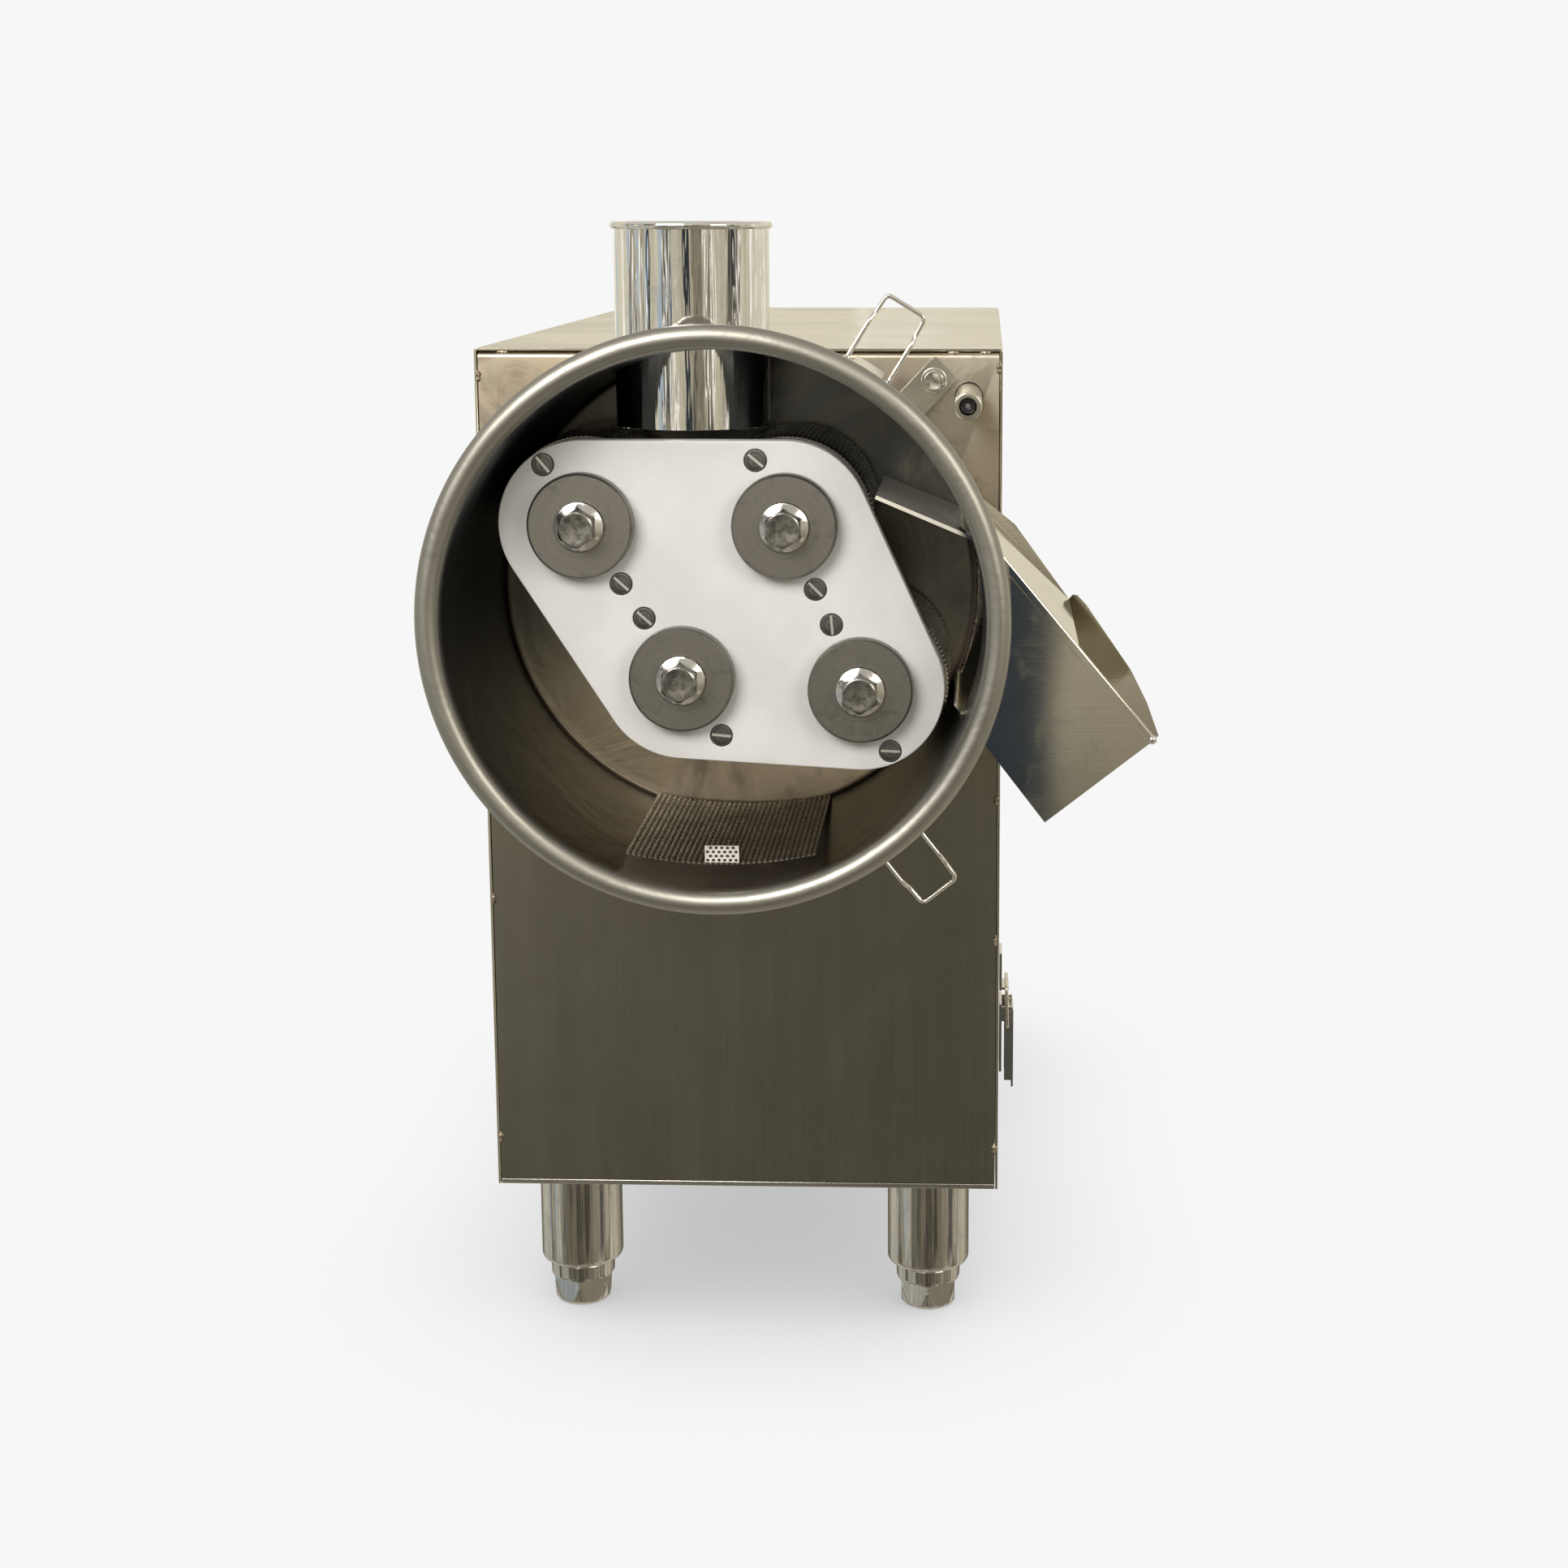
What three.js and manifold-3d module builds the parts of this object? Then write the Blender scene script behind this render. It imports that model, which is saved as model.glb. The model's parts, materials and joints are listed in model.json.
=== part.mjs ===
// A bench-top sugarcane juice extractor: a stainless cabinet on four screw feet, with the round
// pressing chamber on its front and its cover off. Four fluted rollers crush the cane that comes
// down the feed tube, the juice runs through a strainer to the drain, and the pressed cane leaves
// by the chute on the right. Millimetres, +Z up, the front faces -Y. Inside the file, x is taken
// from the middle of the cabinet, y from its front face and z from the floor.
import * as THREE from "three";
import { mergeVertices } from "three/addons/utils/BufferGeometryUtils.js";
import Module from "manifold-3d";

const wasm = await Module();
wasm.setup();

// ---- Driving dimensions -------------------------------------------------------------------

const GAP = 0.4; // clearance between pieces that touch
const CABINET = { width: 300, depth: 590, height: 500, sheet: 1.5, bend: 2 };
const LEG = { height: 91, radius: 25, x: 107.5, y: 45, sleeve: 64, bore: 13.5 };
// The drum widens a little from its back to its mouth, where its edge is rolled into a bead.
const DRUM = { z: 457, radius: 135, mouth: 141.6, sheet: 1.5, front: -153, bead: 6.3 };
const ROLLER = { radius: 46.8, back: -6, front: -89, flutes: 40, fluteDepth: 1.5, shaft: 15 };
const JOURNAL = { radius: 12.5, front: -107 };
const PLATE = { front: -107, thick: 12, corner: 44.8 };
const SCREW = { circle: 37.6, head: 6.3, recess: 3.4 };
const TUBE = { x: -19, y: -52, radius: 41.9, sheet: 1.5, bottom: 552.5, top: 662 };
const GEAR = { module: 3, plane1: 18, plane2: 32, width: 12, backlash: 0.5, bore: 15.4 };
const PULLEY = { y: 156, width: 18, groove: 11, big: 50, small: 28, depth: 10 };
const MOTOR = { x: 35.2, z: 176, radius: 66, front: 180, length: 210 };
const LATCH = { angles: { upper: 58.5, lower: -52, left: 180 }, pinY: -126, pinR: 149.3 };
const SIDE_LATCH = { y: 32, z: 196 };

// The four roller axes in the drum, measured from its centre, and each roller's gear.
const AXES = {
  a: { x: -72.8, z: 47, teeth: 36, planes: 1, screws: 122.5 },
  b: { x: 35.2, z: 47, teeth: 36, planes: 3, screws: 114.5 },
  c: { x: -20.4, z: -34.9, teeth: 30, planes: 2, screws: 122.5 },
  d: { x: 74.85, z: -40.45, teeth: 28, planes: 2, screws: 114.5 },
};

const TOP = LEG.height + CABINET.height;
const INNER = CABINET.width / 2 - CABINET.sheet - GAP; // half width inside the shell
const FLOOR = LEG.height; // underside of the cabinet

// ---- Materials ----------------------------------------------------------------------------

const finish = (color, roughness, metalness) => () =>
  new THREE.MeshStandardMaterial({ color, roughness, metalness });
const satinSteel = finish(0x7d766a, 0.35, 1);
const polishedSteel = finish(0xb9b3a4, 0.14, 1);
const darkSteel = finish(0x6f6b64, 0.45, 1);
const chrome = finish(0xd6d3ca, 0.08, 1);
const whiteNylon = finish(0xe6e4de, 0.45, 0);
const blackPlastic = finish(0x141416, 0.4, 0);
const castIron = finish(0x4c4f50, 0.6, 0.6);
const greyPaint = finish(0x3d4a57, 0.5, 0.1);
const rubber = finish(0x1b1b1b, 0.85, 0);

// ---- Solids: three.js geometries joined and cut -------------------------------------------

// A closed three.js geometry as a solid, turned right side out if its profile ran backwards.
function solid(geometry) {
  const bare = geometry.index ? geometry.toNonIndexed() : geometry.clone();
  const points = new THREE.BufferGeometry();
  points.setAttribute("position", bare.getAttribute("position"));
  const merged = mergeVertices(points, 1e-3);
  const make = (triVerts) =>
    new wasm.Manifold(
      new wasm.Mesh({ numProp: 3, vertProperties: merged.attributes.position.array, triVerts }),
    );
  const outward = new Uint32Array(merged.index.array);
  const made = make(outward);
  return made.volume() > 0 ? made : make(outward.slice().reverse());
}

function geometryOf(made) {
  const mesh = made.getMesh();
  const geometry = new THREE.BufferGeometry();
  geometry.setAttribute("position", new THREE.BufferAttribute(mesh.vertProperties, 3));
  geometry.setIndex(new THREE.BufferAttribute(mesh.triVerts, 1));
  geometry.computeVertexNormals();
  return geometry;
}

const join = (first, ...rest) => rest.reduce((sum, piece) => sum.add(piece), first);
const cut = (first, ...rest) => rest.reduce((left, piece) => left.subtract(piece), first);

const block = (x0, x1, y0, y1, z0, z1) =>
  solid(
    new THREE.BoxGeometry(x1 - x0, y1 - y0, z1 - z0).translate(
      (x0 + x1) / 2,
      (y0 + y1) / 2,
      (z0 + z1) / 2,
    ),
  );

const outline = (points) => new THREE.Shape(points.map(([x, y]) => new THREE.Vector2(x, y)));

// An outline drawn in x and z, given thickness from y0 to y1.
const slab = (points, y0, y1) =>
  solid(
    new THREE.ExtrudeGeometry(outline(points), { depth: y1 - y0, bevelEnabled: false })
      .rotateX(Math.PI / 2)
      .translate(0, y1, 0),
  );

// An outline drawn in y and z, given thickness from x0 to x1.
const bar = (points, x0, x1) =>
  solid(
    new THREE.ExtrudeGeometry(outline(points), { depth: x1 - x0, bevelEnabled: false })
      .rotateX(Math.PI / 2)
      .rotateZ(Math.PI / 2)
      .translate(x0, 0, 0),
  );

// A profile of [radius, y] points turned about a line along Y through (x, z).
const turned = (points, x, z, segments = 24) =>
  solid(
    new THREE.LatheGeometry(
      points.map(([r, y]) => new THREE.Vector2(r, y)),
      segments,
    ).translate(x, 0, z),
  );

// A profile of [radius, z] points turned about a vertical line through (x, y).
const upright = (points, x, y, segments = 28) =>
  solid(
    new THREE.LatheGeometry(
      points.map(([r, z]) => new THREE.Vector2(r, z)),
      segments,
    )
      .rotateX(Math.PI / 2)
      .translate(x, y, 0),
  );

const rod = (r, y0, y1, x, z, segments = 20) =>
  turned([[0, y0], [r, y0], [r, y1], [0, y1]], x, z, segments);

const pin = (r, x0, x1, y, z, segments = 8) =>
  solid(
    new THREE.CylinderGeometry(r, r, x1 - x0, segments)
      .rotateZ(Math.PI / 2)
      .translate((x0 + x1) / 2, y, z),
  );

// Points on an arc, angles in degrees.
function arc(cx, cy, r, from, to, steps) {
  return Array.from({ length: steps + 1 }, (_, i) => {
    const t = THREE.MathUtils.degToRad(from + ((to - from) * i) / steps);
    return [cx + r * Math.cos(t), cy + r * Math.sin(t)];
  });
}

// The outline round a set of points, as a string stretched round them would lie.
function hull(points) {
  const sorted = [...points].sort((p, q) => p[0] - q[0] || p[1] - q[1]);
  const side = (list) => {
    const kept = [];
    for (const p of list) {
      while (kept.length > 1) {
        const [a, b] = kept.slice(-2);
        if ((b[0] - a[0]) * (p[1] - a[1]) - (b[1] - a[1]) * (p[0] - a[0]) > 1e-6) break;
        kept.pop();
      }
      kept.push(p);
    }
    return kept.slice(0, -1);
  };
  return [...side(sorted), ...side(sorted.reverse())];
}

// A wire of radius r bent through a list of points, with its bends a little rounded.
function wire(points, r) {
  const path = new THREE.CatmullRomCurve3(
    points.map((p) => new THREE.Vector3(...p)),
    false,
    "catmullrom",
    0.12,
  );
  const section = outline(arc(0, 0, r, 0, 300, 5));
  const steps = Math.round(path.getLength() / 4);
  return solid(new THREE.ExtrudeGeometry(section, { steps, extrudePath: path }));
}

// ---- The scene graph ----------------------------------------------------------------------

const machine = new THREE.Group();

function add(name, made, material, group = machine) {
  const mesh = new THREE.Mesh(geometryOf(made), material());
  mesh.name = name;
  group.add(mesh);
  return mesh;
}

// ---- Cabinet: a bent shell over a base plate, closed by a front panel and a rear cover -----

const { sheet } = CABINET;
const side = CABINET.width / 2;

add(
  "body_shell",
  slab(
    [
      [-side, FLOOR],
      ...arc(-side + CABINET.bend, TOP - CABINET.bend, CABINET.bend, 180, 90, 4),
      ...arc(side - CABINET.bend, TOP - CABINET.bend, CABINET.bend, 90, 0, 4),
      [side, FLOOR],
      [side - sheet, FLOOR],
      ...arc(side - CABINET.bend, TOP - CABINET.bend, CABINET.bend - sheet, 0, 90, 4),
      ...arc(-side + CABINET.bend, TOP - CABINET.bend, CABINET.bend - sheet, 90, 180, 4),
      [-side + sheet, FLOOR],
    ],
    0.3,
    CABINET.depth,
  ),
  polishedSteel,
);

const BASE = { top: FLOOR + 3, back: CABINET.depth - 0.4 };
add("base_plate", block(-INNER, INNER, 0.6, BASE.back, FLOOR, BASE.top), satinSteel);

// The front panel's top edge is bent back over a small radius, under the shell.
const PANEL = { front: 0.5, back: 2, bend: 3.5, flange: 14, top: TOP - sheet - GAP };
const panelEdge = [
  [PANEL.front, BASE.top + GAP],
  ...arc(PANEL.front + PANEL.bend, PANEL.top - PANEL.bend, PANEL.bend, 180, 90, 4),
  [PANEL.flange, PANEL.top],
  [PANEL.flange, PANEL.top - sheet],
  ...arc(PANEL.front + PANEL.bend, PANEL.top - PANEL.bend, PANEL.bend - sheet, 90, 180, 4),
  [PANEL.back, BASE.top + GAP],
];
const axes = Object.entries(AXES);
const shaftHoles = (r, y0, y1) => axes.map(([, a]) => rod(r, y0, y1, a.x, DRUM.z + a.z, 20));
const INTERLOCK = { x: 131, z: 564.4, radius: 7.5, bore: 4.75, front: -77, back: 20, travel: 5 };

add(
  "front_panel",
  cut(
    bar(panelEdge, -INNER, INNER),
    ...shaftHoles(ROLLER.shaft + 1, -5, 5),
    rod(INTERLOCK.radius + GAP, -5, 5, INTERLOCK.x, INTERLOCK.z, 16),
  ),
  satinSteel,
);

const REAR = { front: 587, back: 588.5 };
const through = [REAR.front - 5, REAR.back + 5]; // cutters that pass through the cover
const SLOT = { rows: 8, pitch: 16, lowest: 250, height: 5, x: 70, half: 40 };
const slots = [-SLOT.x, SLOT.x].flatMap((x) =>
  Array.from({ length: SLOT.rows }, (_, i) => {
    const z = SLOT.lowest + i * SLOT.pitch;
    return block(x - SLOT.half, x + SLOT.half, ...through, z, z + SLOT.height);
  }),
);
const GLAND = { x: 90, z: 130, bore: 4.5, neck: 7.5 };
add(
  "rear_cover",
  cut(
    block(-INNER, INNER, REAR.front, REAR.back, BASE.top + GAP, PANEL.top),
    ...slots,
    rod(GLAND.neck + GAP, ...through, GLAND.x, GLAND.z, 16),
  ),
  satinSteel,
);

// ---- Drive: bearing plate, gears, gearbox, belt and motor, behind the front panel ----------

const DRIVE = { left: -136, right: 118, front: 2.4, back: 14.4, bottom: 330, top: 582 };
add(
  "drive_plate",
  cut(
    block(DRIVE.left, DRIVE.right, DRIVE.front, DRIVE.back, DRIVE.bottom, DRIVE.top),
    ...shaftHoles(ROLLER.shaft + GAP, DRIVE.front - 1, DRIVE.back + 1),
  ),
  castIron,
);

// A spur gear's outline: each flank is the chord of an involute, 20 degrees at the pitch.
function gearOutline(teeth, toothAt) {
  const { module, backlash } = GEAR;
  const pitch = (teeth * module) / 2;
  const baseCircle = pitch * Math.cos(THREE.MathUtils.degToRad(20));
  const involute = (r) => {
    const angle = Math.acos(Math.min(1, baseCircle / r));
    return Math.tan(angle) - angle;
  };
  const half = (r) =>
    Math.PI / (2 * teeth) - backlash / (2 * pitch) + involute(pitch) - involute(r);
  const root = pitch - 1.25 * module;
  const tip = pitch + 0.9 * module;
  const tooth = [
    [root, -1],
    [tip, -1],
    [tip, 1],
    [root, 1],
  ];
  return Array.from({ length: teeth }, (_, i) => {
    const middle = toothAt + (2 * Math.PI * i) / teeth;
    return tooth.map(([r, flank]) => {
      const t = middle + flank * half(Math.max(r, baseCircle));
      return [r * Math.cos(t), r * Math.sin(t)];
    });
  }).flat();
}

// Gear B has a tooth at angle 0. A follower's space must face B's tooth on the line of centres.
const lead = AXES.b;
function toothAngle(axis) {
  if (axis === lead) return 0;
  const towards = Math.atan2(axis.z - lead.z, axis.x - lead.x);
  const leadRadius = (lead.teeth * GEAR.module) / 2;
  const radius = (axis.teeth * GEAR.module) / 2;
  const nearestTooth = Math.round((towards * lead.teeth) / (2 * Math.PI));
  const toothPast = leadRadius * ((nearestTooth * 2 * Math.PI) / lead.teeth - towards);
  return towards + Math.PI - (toothPast + (Math.PI * GEAR.module) / 2) / radius;
}

for (const [name, axis] of axes) {
  const y0 = axis.planes & 1 ? GEAR.plane1 : GEAR.plane2;
  const y1 = (axis.planes & 2 ? GEAR.plane2 : GEAR.plane1) + GEAR.width;
  const teeth = gearOutline(axis.teeth, toothAngle(axis));
  const z = DRUM.z + axis.z;
  const gear = slab(teeth.map(([x, up]) => [axis.x + x, z + up]), y0, y1);
  add(`roller_gear_${name}`, cut(gear, rod(GEAR.bore, y0 - 5, y1 + 5, axis.x, z, 20)), darkSteel);
}

// The gearbox hangs on roller B's shaft and stands on its pedestal on the base plate.
const BOX = { front: 50, back: 150, upper: 58, lower: 46, inputZ: 424 };
const PEDESTAL = { half: 22, front: 85, back: 125 };
const FOOTING = { half: 45, front: 65, back: 145, top: BASE.top + 12 };
const STUB = 10; // radius of the gearbox's input shaft and of the motor's
const shaftZ = DRUM.z + lead.z;
add(
  "gearbox",
  cut(
    join(
      slab(
        hull([
          ...arc(lead.x, shaftZ, BOX.upper, 0, 360, 24),
          ...arc(lead.x, BOX.inputZ, BOX.lower, 0, 360, 24),
        ]),
        BOX.front,
        BOX.back,
      ),
      block(
        lead.x - PEDESTAL.half,
        lead.x + PEDESTAL.half,
        PEDESTAL.front,
        PEDESTAL.back,
        FOOTING.top - 1,
        BOX.inputZ,
      ),
      block(
        lead.x - FOOTING.half,
        lead.x + FOOTING.half,
        FOOTING.front,
        FOOTING.back,
        BASE.top + GAP,
        FOOTING.top,
      ),
    ),
    rod(ROLLER.shaft + GAP, BOX.front - 5, BOX.back + 5, lead.x, shaftZ, 20),
    rod(STUB + GAP, BOX.back - 40, BOX.back + 5, lead.x, BOX.inputZ, 20),
  ),
  greyPaint,
);

const MOTOR_BACK = MOTOR.front + MOTOR.length;
const CRADLE = { half: 55, front: 220, back: 340, top: 125 };
const TERMINALS = { half: 35, front: 240, back: 320, bottom: 215, top: 262 };
add(
  "motor",
  cut(
    join(
      turned(
        [
          [0, MOTOR.front],
          [40, MOTOR.front],
          [MOTOR.radius - 6, MOTOR.front + 12],
          [MOTOR.radius, MOTOR.front + 20],
          [MOTOR.radius, MOTOR_BACK - 20],
          [MOTOR.radius - 10, MOTOR_BACK],
          [0, MOTOR_BACK],
        ],
        MOTOR.x,
        MOTOR.z,
      ),
      block(
        MOTOR.x - CRADLE.half,
        MOTOR.x + CRADLE.half,
        CRADLE.front,
        CRADLE.back,
        BASE.top + GAP,
        CRADLE.top,
      ),
      block(
        MOTOR.x - TERMINALS.half,
        MOTOR.x + TERMINALS.half,
        TERMINALS.front,
        TERMINALS.back,
        TERMINALS.bottom,
        TERMINALS.top,
      ),
    ),
    rod(STUB + GAP, MOTOR.front - 5, MOTOR.front + 60, MOTOR.x, MOTOR.z, 20),
  ),
  greyPaint,
);

// Both pulleys have a flat-bottomed groove and carry a stub of their shaft.
function pulley(name, radius, z, shaftEnd) {
  const { y, width, groove, depth } = PULLEY;
  const cheek = (width - groove) / 2;
  const rim = [
    [radius, y],
    [radius, y + cheek],
    [radius - depth, y + cheek],
    [radius - depth, y + width - cheek],
    [radius, y + width - cheek],
    [radius, y + width],
  ];
  const front = shaftEnd < y ? [[0, shaftEnd], [STUB, shaftEnd], [STUB, y]] : [[0, y]];
  const back =
    shaftEnd > y ? [[STUB, y + width], [STUB, shaftEnd], [0, shaftEnd]] : [[0, y + width]];
  add(name, turned([...front, ...rim, ...back], lead.x, z, 20), castIron);
}
pulley("gearbox_pulley", PULLEY.big, BOX.inputZ, 115);
pulley("motor_pulley", PULLEY.small, MOTOR.z, MOTOR.front + 55);

const beltLoop = (inset) =>
  hull([
    ...arc(lead.x, BOX.inputZ, PULLEY.big - inset, 0, 360, 20),
    ...arc(lead.x, MOTOR.z, PULLEY.small - inset, 0, 360, 20),
  ]);
add(
  "drive_belt",
  cut(
    slab(beltLoop(-0.5), PULLEY.y + 4, PULLEY.y + 14),
    slab(beltLoop(PULLEY.depth - 2), PULLEY.y, PULLEY.y + 18),
  ),
  rubber,
);

// ---- Rear fittings: the mains switch and the cable gland ----------------------------------

const SWITCH = { x: -80, z: 520, halfWidth: 30, halfHeight: 40, depth: 26 };
const WELL = { halfWidth: 15, halfHeight: 20, front: 600 };
const ROCKER = { halfWidth: 14.4, y: 609, tilt: 10 };
add(
  "switch_box",
  cut(
    block(
      SWITCH.x - SWITCH.halfWidth,
      SWITCH.x + SWITCH.halfWidth,
      REAR.back + GAP,
      REAR.back + SWITCH.depth,
      SWITCH.z - SWITCH.halfHeight,
      SWITCH.z + SWITCH.halfHeight,
    ),
    block(
      SWITCH.x - WELL.halfWidth,
      SWITCH.x + WELL.halfWidth,
      WELL.front,
      REAR.back + SWITCH.depth + 1,
      SWITCH.z - WELL.halfHeight,
      SWITCH.z + WELL.halfHeight,
    ),
  ),
  blackPlastic,
);
const rocker = new THREE.Group();
rocker.position.set(SWITCH.x, ROCKER.y, SWITCH.z);
rocker.rotation.x = -THREE.MathUtils.degToRad(ROCKER.tilt);
machine.add(rocker);
add(
  "switch_rocker",
  bar(
    [[-3, -16.5], [-3, 16.5], [7, 16.5], [4, 0], [7, -16.5]],
    -ROCKER.halfWidth,
    ROCKER.halfWidth,
  ),
  rubber,
  rocker,
);
add(
  "cable_gland",
  turned(
    [
      [GLAND.bore, 580],
      [GLAND.neck, 580],
      [GLAND.neck, REAR.back + GAP],
      [11, REAR.back + GAP],
      [11, 595],
      [9, 597],
      [8, 606],
      [GLAND.bore, 606],
      [GLAND.bore, 580],
    ],
    GLAND.x,
    GLAND.z,
    16,
  ),
  blackPlastic,
);

// ---- Pressing chamber: drum, feed tube, discharge chute, strainer, drain ------------------

const BEAD = { r: DRUM.mouth + DRUM.bead + 0.4, y: DRUM.front + DRUM.bead };
const drumInner = (y) => DRUM.radius + ((DRUM.mouth - DRUM.radius) * y) / BEAD.y;
const drumOuter = (y) => drumInner(y) + DRUM.sheet;
const polar = (r, degrees) => {
  const t = THREE.MathUtils.degToRad(degrees);
  return [r * Math.cos(t), DRUM.z + r * Math.sin(t)];
};
const onDrum = ([x, z]) => [x, DRUM.z + z];

// Three tabs welded to the drum's back edge, where it is bolted to the front panel.
const LUG = { angles: [46.3, 226.3, 313.7], inner: 135.7, outer: 171.5, half: 9.5, thick: 3 };
const lugs = LUG.angles.map((angle) => {
  const corner = (r, across) => {
    const turn = THREE.MathUtils.radToDeg(Math.atan2(across, r));
    return polar(Math.hypot(r, across), angle + turn);
  };
  const { inner, outer, half, thick } = LUG;
  const corners = [[inner, -half], [outer, -half], [outer, half], [inner, half]];
  return slab(corners.map(([r, across]) => corner(r, across)), -thick, 0);
});
const OPENING = { from: -24.3, to: 22, front: -108.5, back: -1.9, inner: 125, outer: 160 };
const DRAIN = { y: -60, radius: 14.6, bore: 12.6, bottom: 283 };
const post = (r, z0, z1, x, y) => upright([[0, z0], [r, z0], [r, z1], [0, z1]], x, y);
const drumHoles = [
  post(TUBE.radius + GAP, TUBE.bottom - 10, DRUM.z + OPENING.outer, TUBE.x, TUBE.y),
  post(DRAIN.radius + GAP, DRUM.z - OPENING.outer, DRUM.z - OPENING.inner, 0, DRAIN.y),
  slab(
    [
      polar(OPENING.inner, OPENING.from),
      polar(OPENING.outer, OPENING.from),
      polar(OPENING.outer, OPENING.to),
      polar(OPENING.inner, OPENING.to),
    ],
    OPENING.front,
    OPENING.back,
  ),
];
const drumProfile = [
  [drumInner(0), 0],
  [drumOuter(0), 0],
  ...arc(BEAD.r, BEAD.y, DRUM.bead, 150, -180, 8),
  [DRUM.mouth, BEAD.y + 2],
  [drumInner(0), 0],
];
add(
  "drum_wall",
  cut(join(turned(drumProfile, 0, DRUM.z, 40), ...lugs), ...drumHoles),
  satinSteel,
);
add(
  "drum_back",
  cut(
    rod(drumInner(0) - 0.5, -DRUM.sheet, 0, 0, DRUM.z, 40),
    ...shaftHoles(ROLLER.shaft + 1, -5, 5),
  ),
  satinSteel,
);

const tubeBore = TUBE.radius - TUBE.sheet;
add(
  "feed_tube",
  upright(
    [
      [tubeBore, TUBE.bottom],
      [TUBE.radius, TUBE.bottom],
      [TUBE.radius, TUBE.top - 4],
      ...arc(TUBE.radius, TUBE.top - 2, 2, -90, 90, 2),
      [tubeBore, TUBE.top],
      [tubeBore, TUBE.bottom],
    ],
    TUBE.x,
    TUBE.y,
    28,
  ),
  polishedSteel,
);

// The chute's near wall, far wall, floor and half-length lid, outlines measured from the drum's
// centre. The far wall stands higher than the near one and has a round corner past the lid.
const CHUTE = { near: -107, far: -3, sheet: 1.5 };
const CHUTE_NEAR = [[113, 76.3], [232.3, -66.8], [173.4, -113.2], [124.4, -49.1]];
const CHUTE_FAR = [
  [118, 64],
  [142.3, 47.3],
  [157.5, 35],
  [188.5, -7.7],
  [190.5, -5.2],
  [193.2, -5.4],
  [198.1, -10.5],
  [211.4, -29.6],
  [224.4, -48.7],
  [234, -67.9],
  [240.9, -87.1],
  [236.5, -90.5],
  [173.4, -113.2],
  [124.4, -49.1],
];
const CHUTE_FLOOR = [[173.4, -113.2], [124.4, -49.1], [125.5, -48.1], [174.5, -112.2]];
const LID = {
  nearStart: [113, 76.3],
  nearEnd: [190.8, -17.1],
  farStart: [118, 64],
  farEnd: [188.5, -7.7],
  thick: 2,
};
// The deflector reaches into the drum through its opening, from under the lid.
const DEFLECTOR = [[83.2, 63.1], [146.5, 36.3], [145.7, 34.4], [82.4, 61.2]];

// A thin lid between a line on the near wall and a line on the far wall.
function lidBetween({ nearStart, nearEnd, farStart, farEnd, thick }) {
  const geometry = new THREE.BoxGeometry(1, 1, 1);
  const at = geometry.getAttribute("position");
  for (let i = 0; i < at.count; i++) {
    const along = at.getX(i) + 0.5;
    const across = at.getY(i) + 0.5;
    const mix = (k) =>
      (nearStart[k] * (1 - along) + nearEnd[k] * along) * (1 - across) +
      (farStart[k] * (1 - along) + farEnd[k] * along) * across;
    const y = CHUTE.near + (CHUTE.far - CHUTE.near) * across;
    at.setXYZ(i, mix(0), y, DRUM.z + mix(1) - thick * (0.5 - at.getZ(i)));
  }
  return solid(geometry);
}
const chuteWalls = join(
  slab(CHUTE_NEAR.map(onDrum), CHUTE.near, CHUTE.near + CHUTE.sheet),
  slab(CHUTE_FAR.map(onDrum), CHUTE.far - CHUTE.sheet, CHUTE.far),
  lidBetween(LID),
);
const WELD = 0.8; // welded pieces stand this far off the drum, where the weld runs
const drumSpace = turned(
  [
    [0, 20],
    [drumOuter(0) + WELD, 20],
    [drumOuter(0) + WELD, 0],
    [drumOuter(BEAD.y) + WELD, BEAD.y],
    [0, BEAD.y],
  ],
  0,
  DRUM.z,
  48,
);
add(
  "discharge_chute",
  join(
    cut(chuteWalls, drumSpace),
    slab(CHUTE_FLOOR.map(onDrum), CHUTE.near, CHUTE.far),
    slab(DEFLECTOR.map(onDrum), CHUTE.near, CHUTE.far),
  ),
  polishedSteel,
);

// The strainer is a gently bent perforated sheet with a pull tab; its holes are too fine for here.
const STRAINER = { x: 1.6, half: 51, bend: 230, low: -129.1, front: -138, back: -4, thick: 1 };
const STRAINER_TAB = { x: 2.6, half: 9, top: -119.4 };
const sheetLine = (lift) => {
  const sweep = (Math.asin(STRAINER.half / STRAINER.bend) * 180) / Math.PI;
  const centre = DRUM.z + STRAINER.low + STRAINER.bend;
  return arc(STRAINER.x, centre, STRAINER.bend - lift, -90 - sweep, -90 + sweep, 10);
};
add(
  "strainer",
  join(
    slab(
      [...sheetLine(-STRAINER.thick / 2), ...sheetLine(STRAINER.thick / 2).reverse()],
      STRAINER.front,
      STRAINER.back,
    ),
    block(
      STRAINER_TAB.x - STRAINER_TAB.half,
      STRAINER_TAB.x + STRAINER_TAB.half,
      STRAINER.front,
      STRAINER.front + STRAINER.thick,
      DRUM.z + STRAINER.low,
      DRUM.z + STRAINER_TAB.top,
    ),
  ),
  darkSteel,
);

const spoutTop = DRUM.z - drumInner(DRAIN.y) + 0.7;
add(
  "drain_spout",
  upright(
    [
      [DRAIN.bore, DRAIN.bottom],
      [DRAIN.radius, DRAIN.bottom],
      [DRAIN.radius, spoutTop],
      [DRAIN.bore, spoutTop],
      [DRAIN.bore, DRAIN.bottom],
    ],
    0,
    DRAIN.y,
    20,
  ),
  satinSteel,
);

// ---- Front bearing plate, and each roller with its end washer and bolt ---------------------

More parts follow.
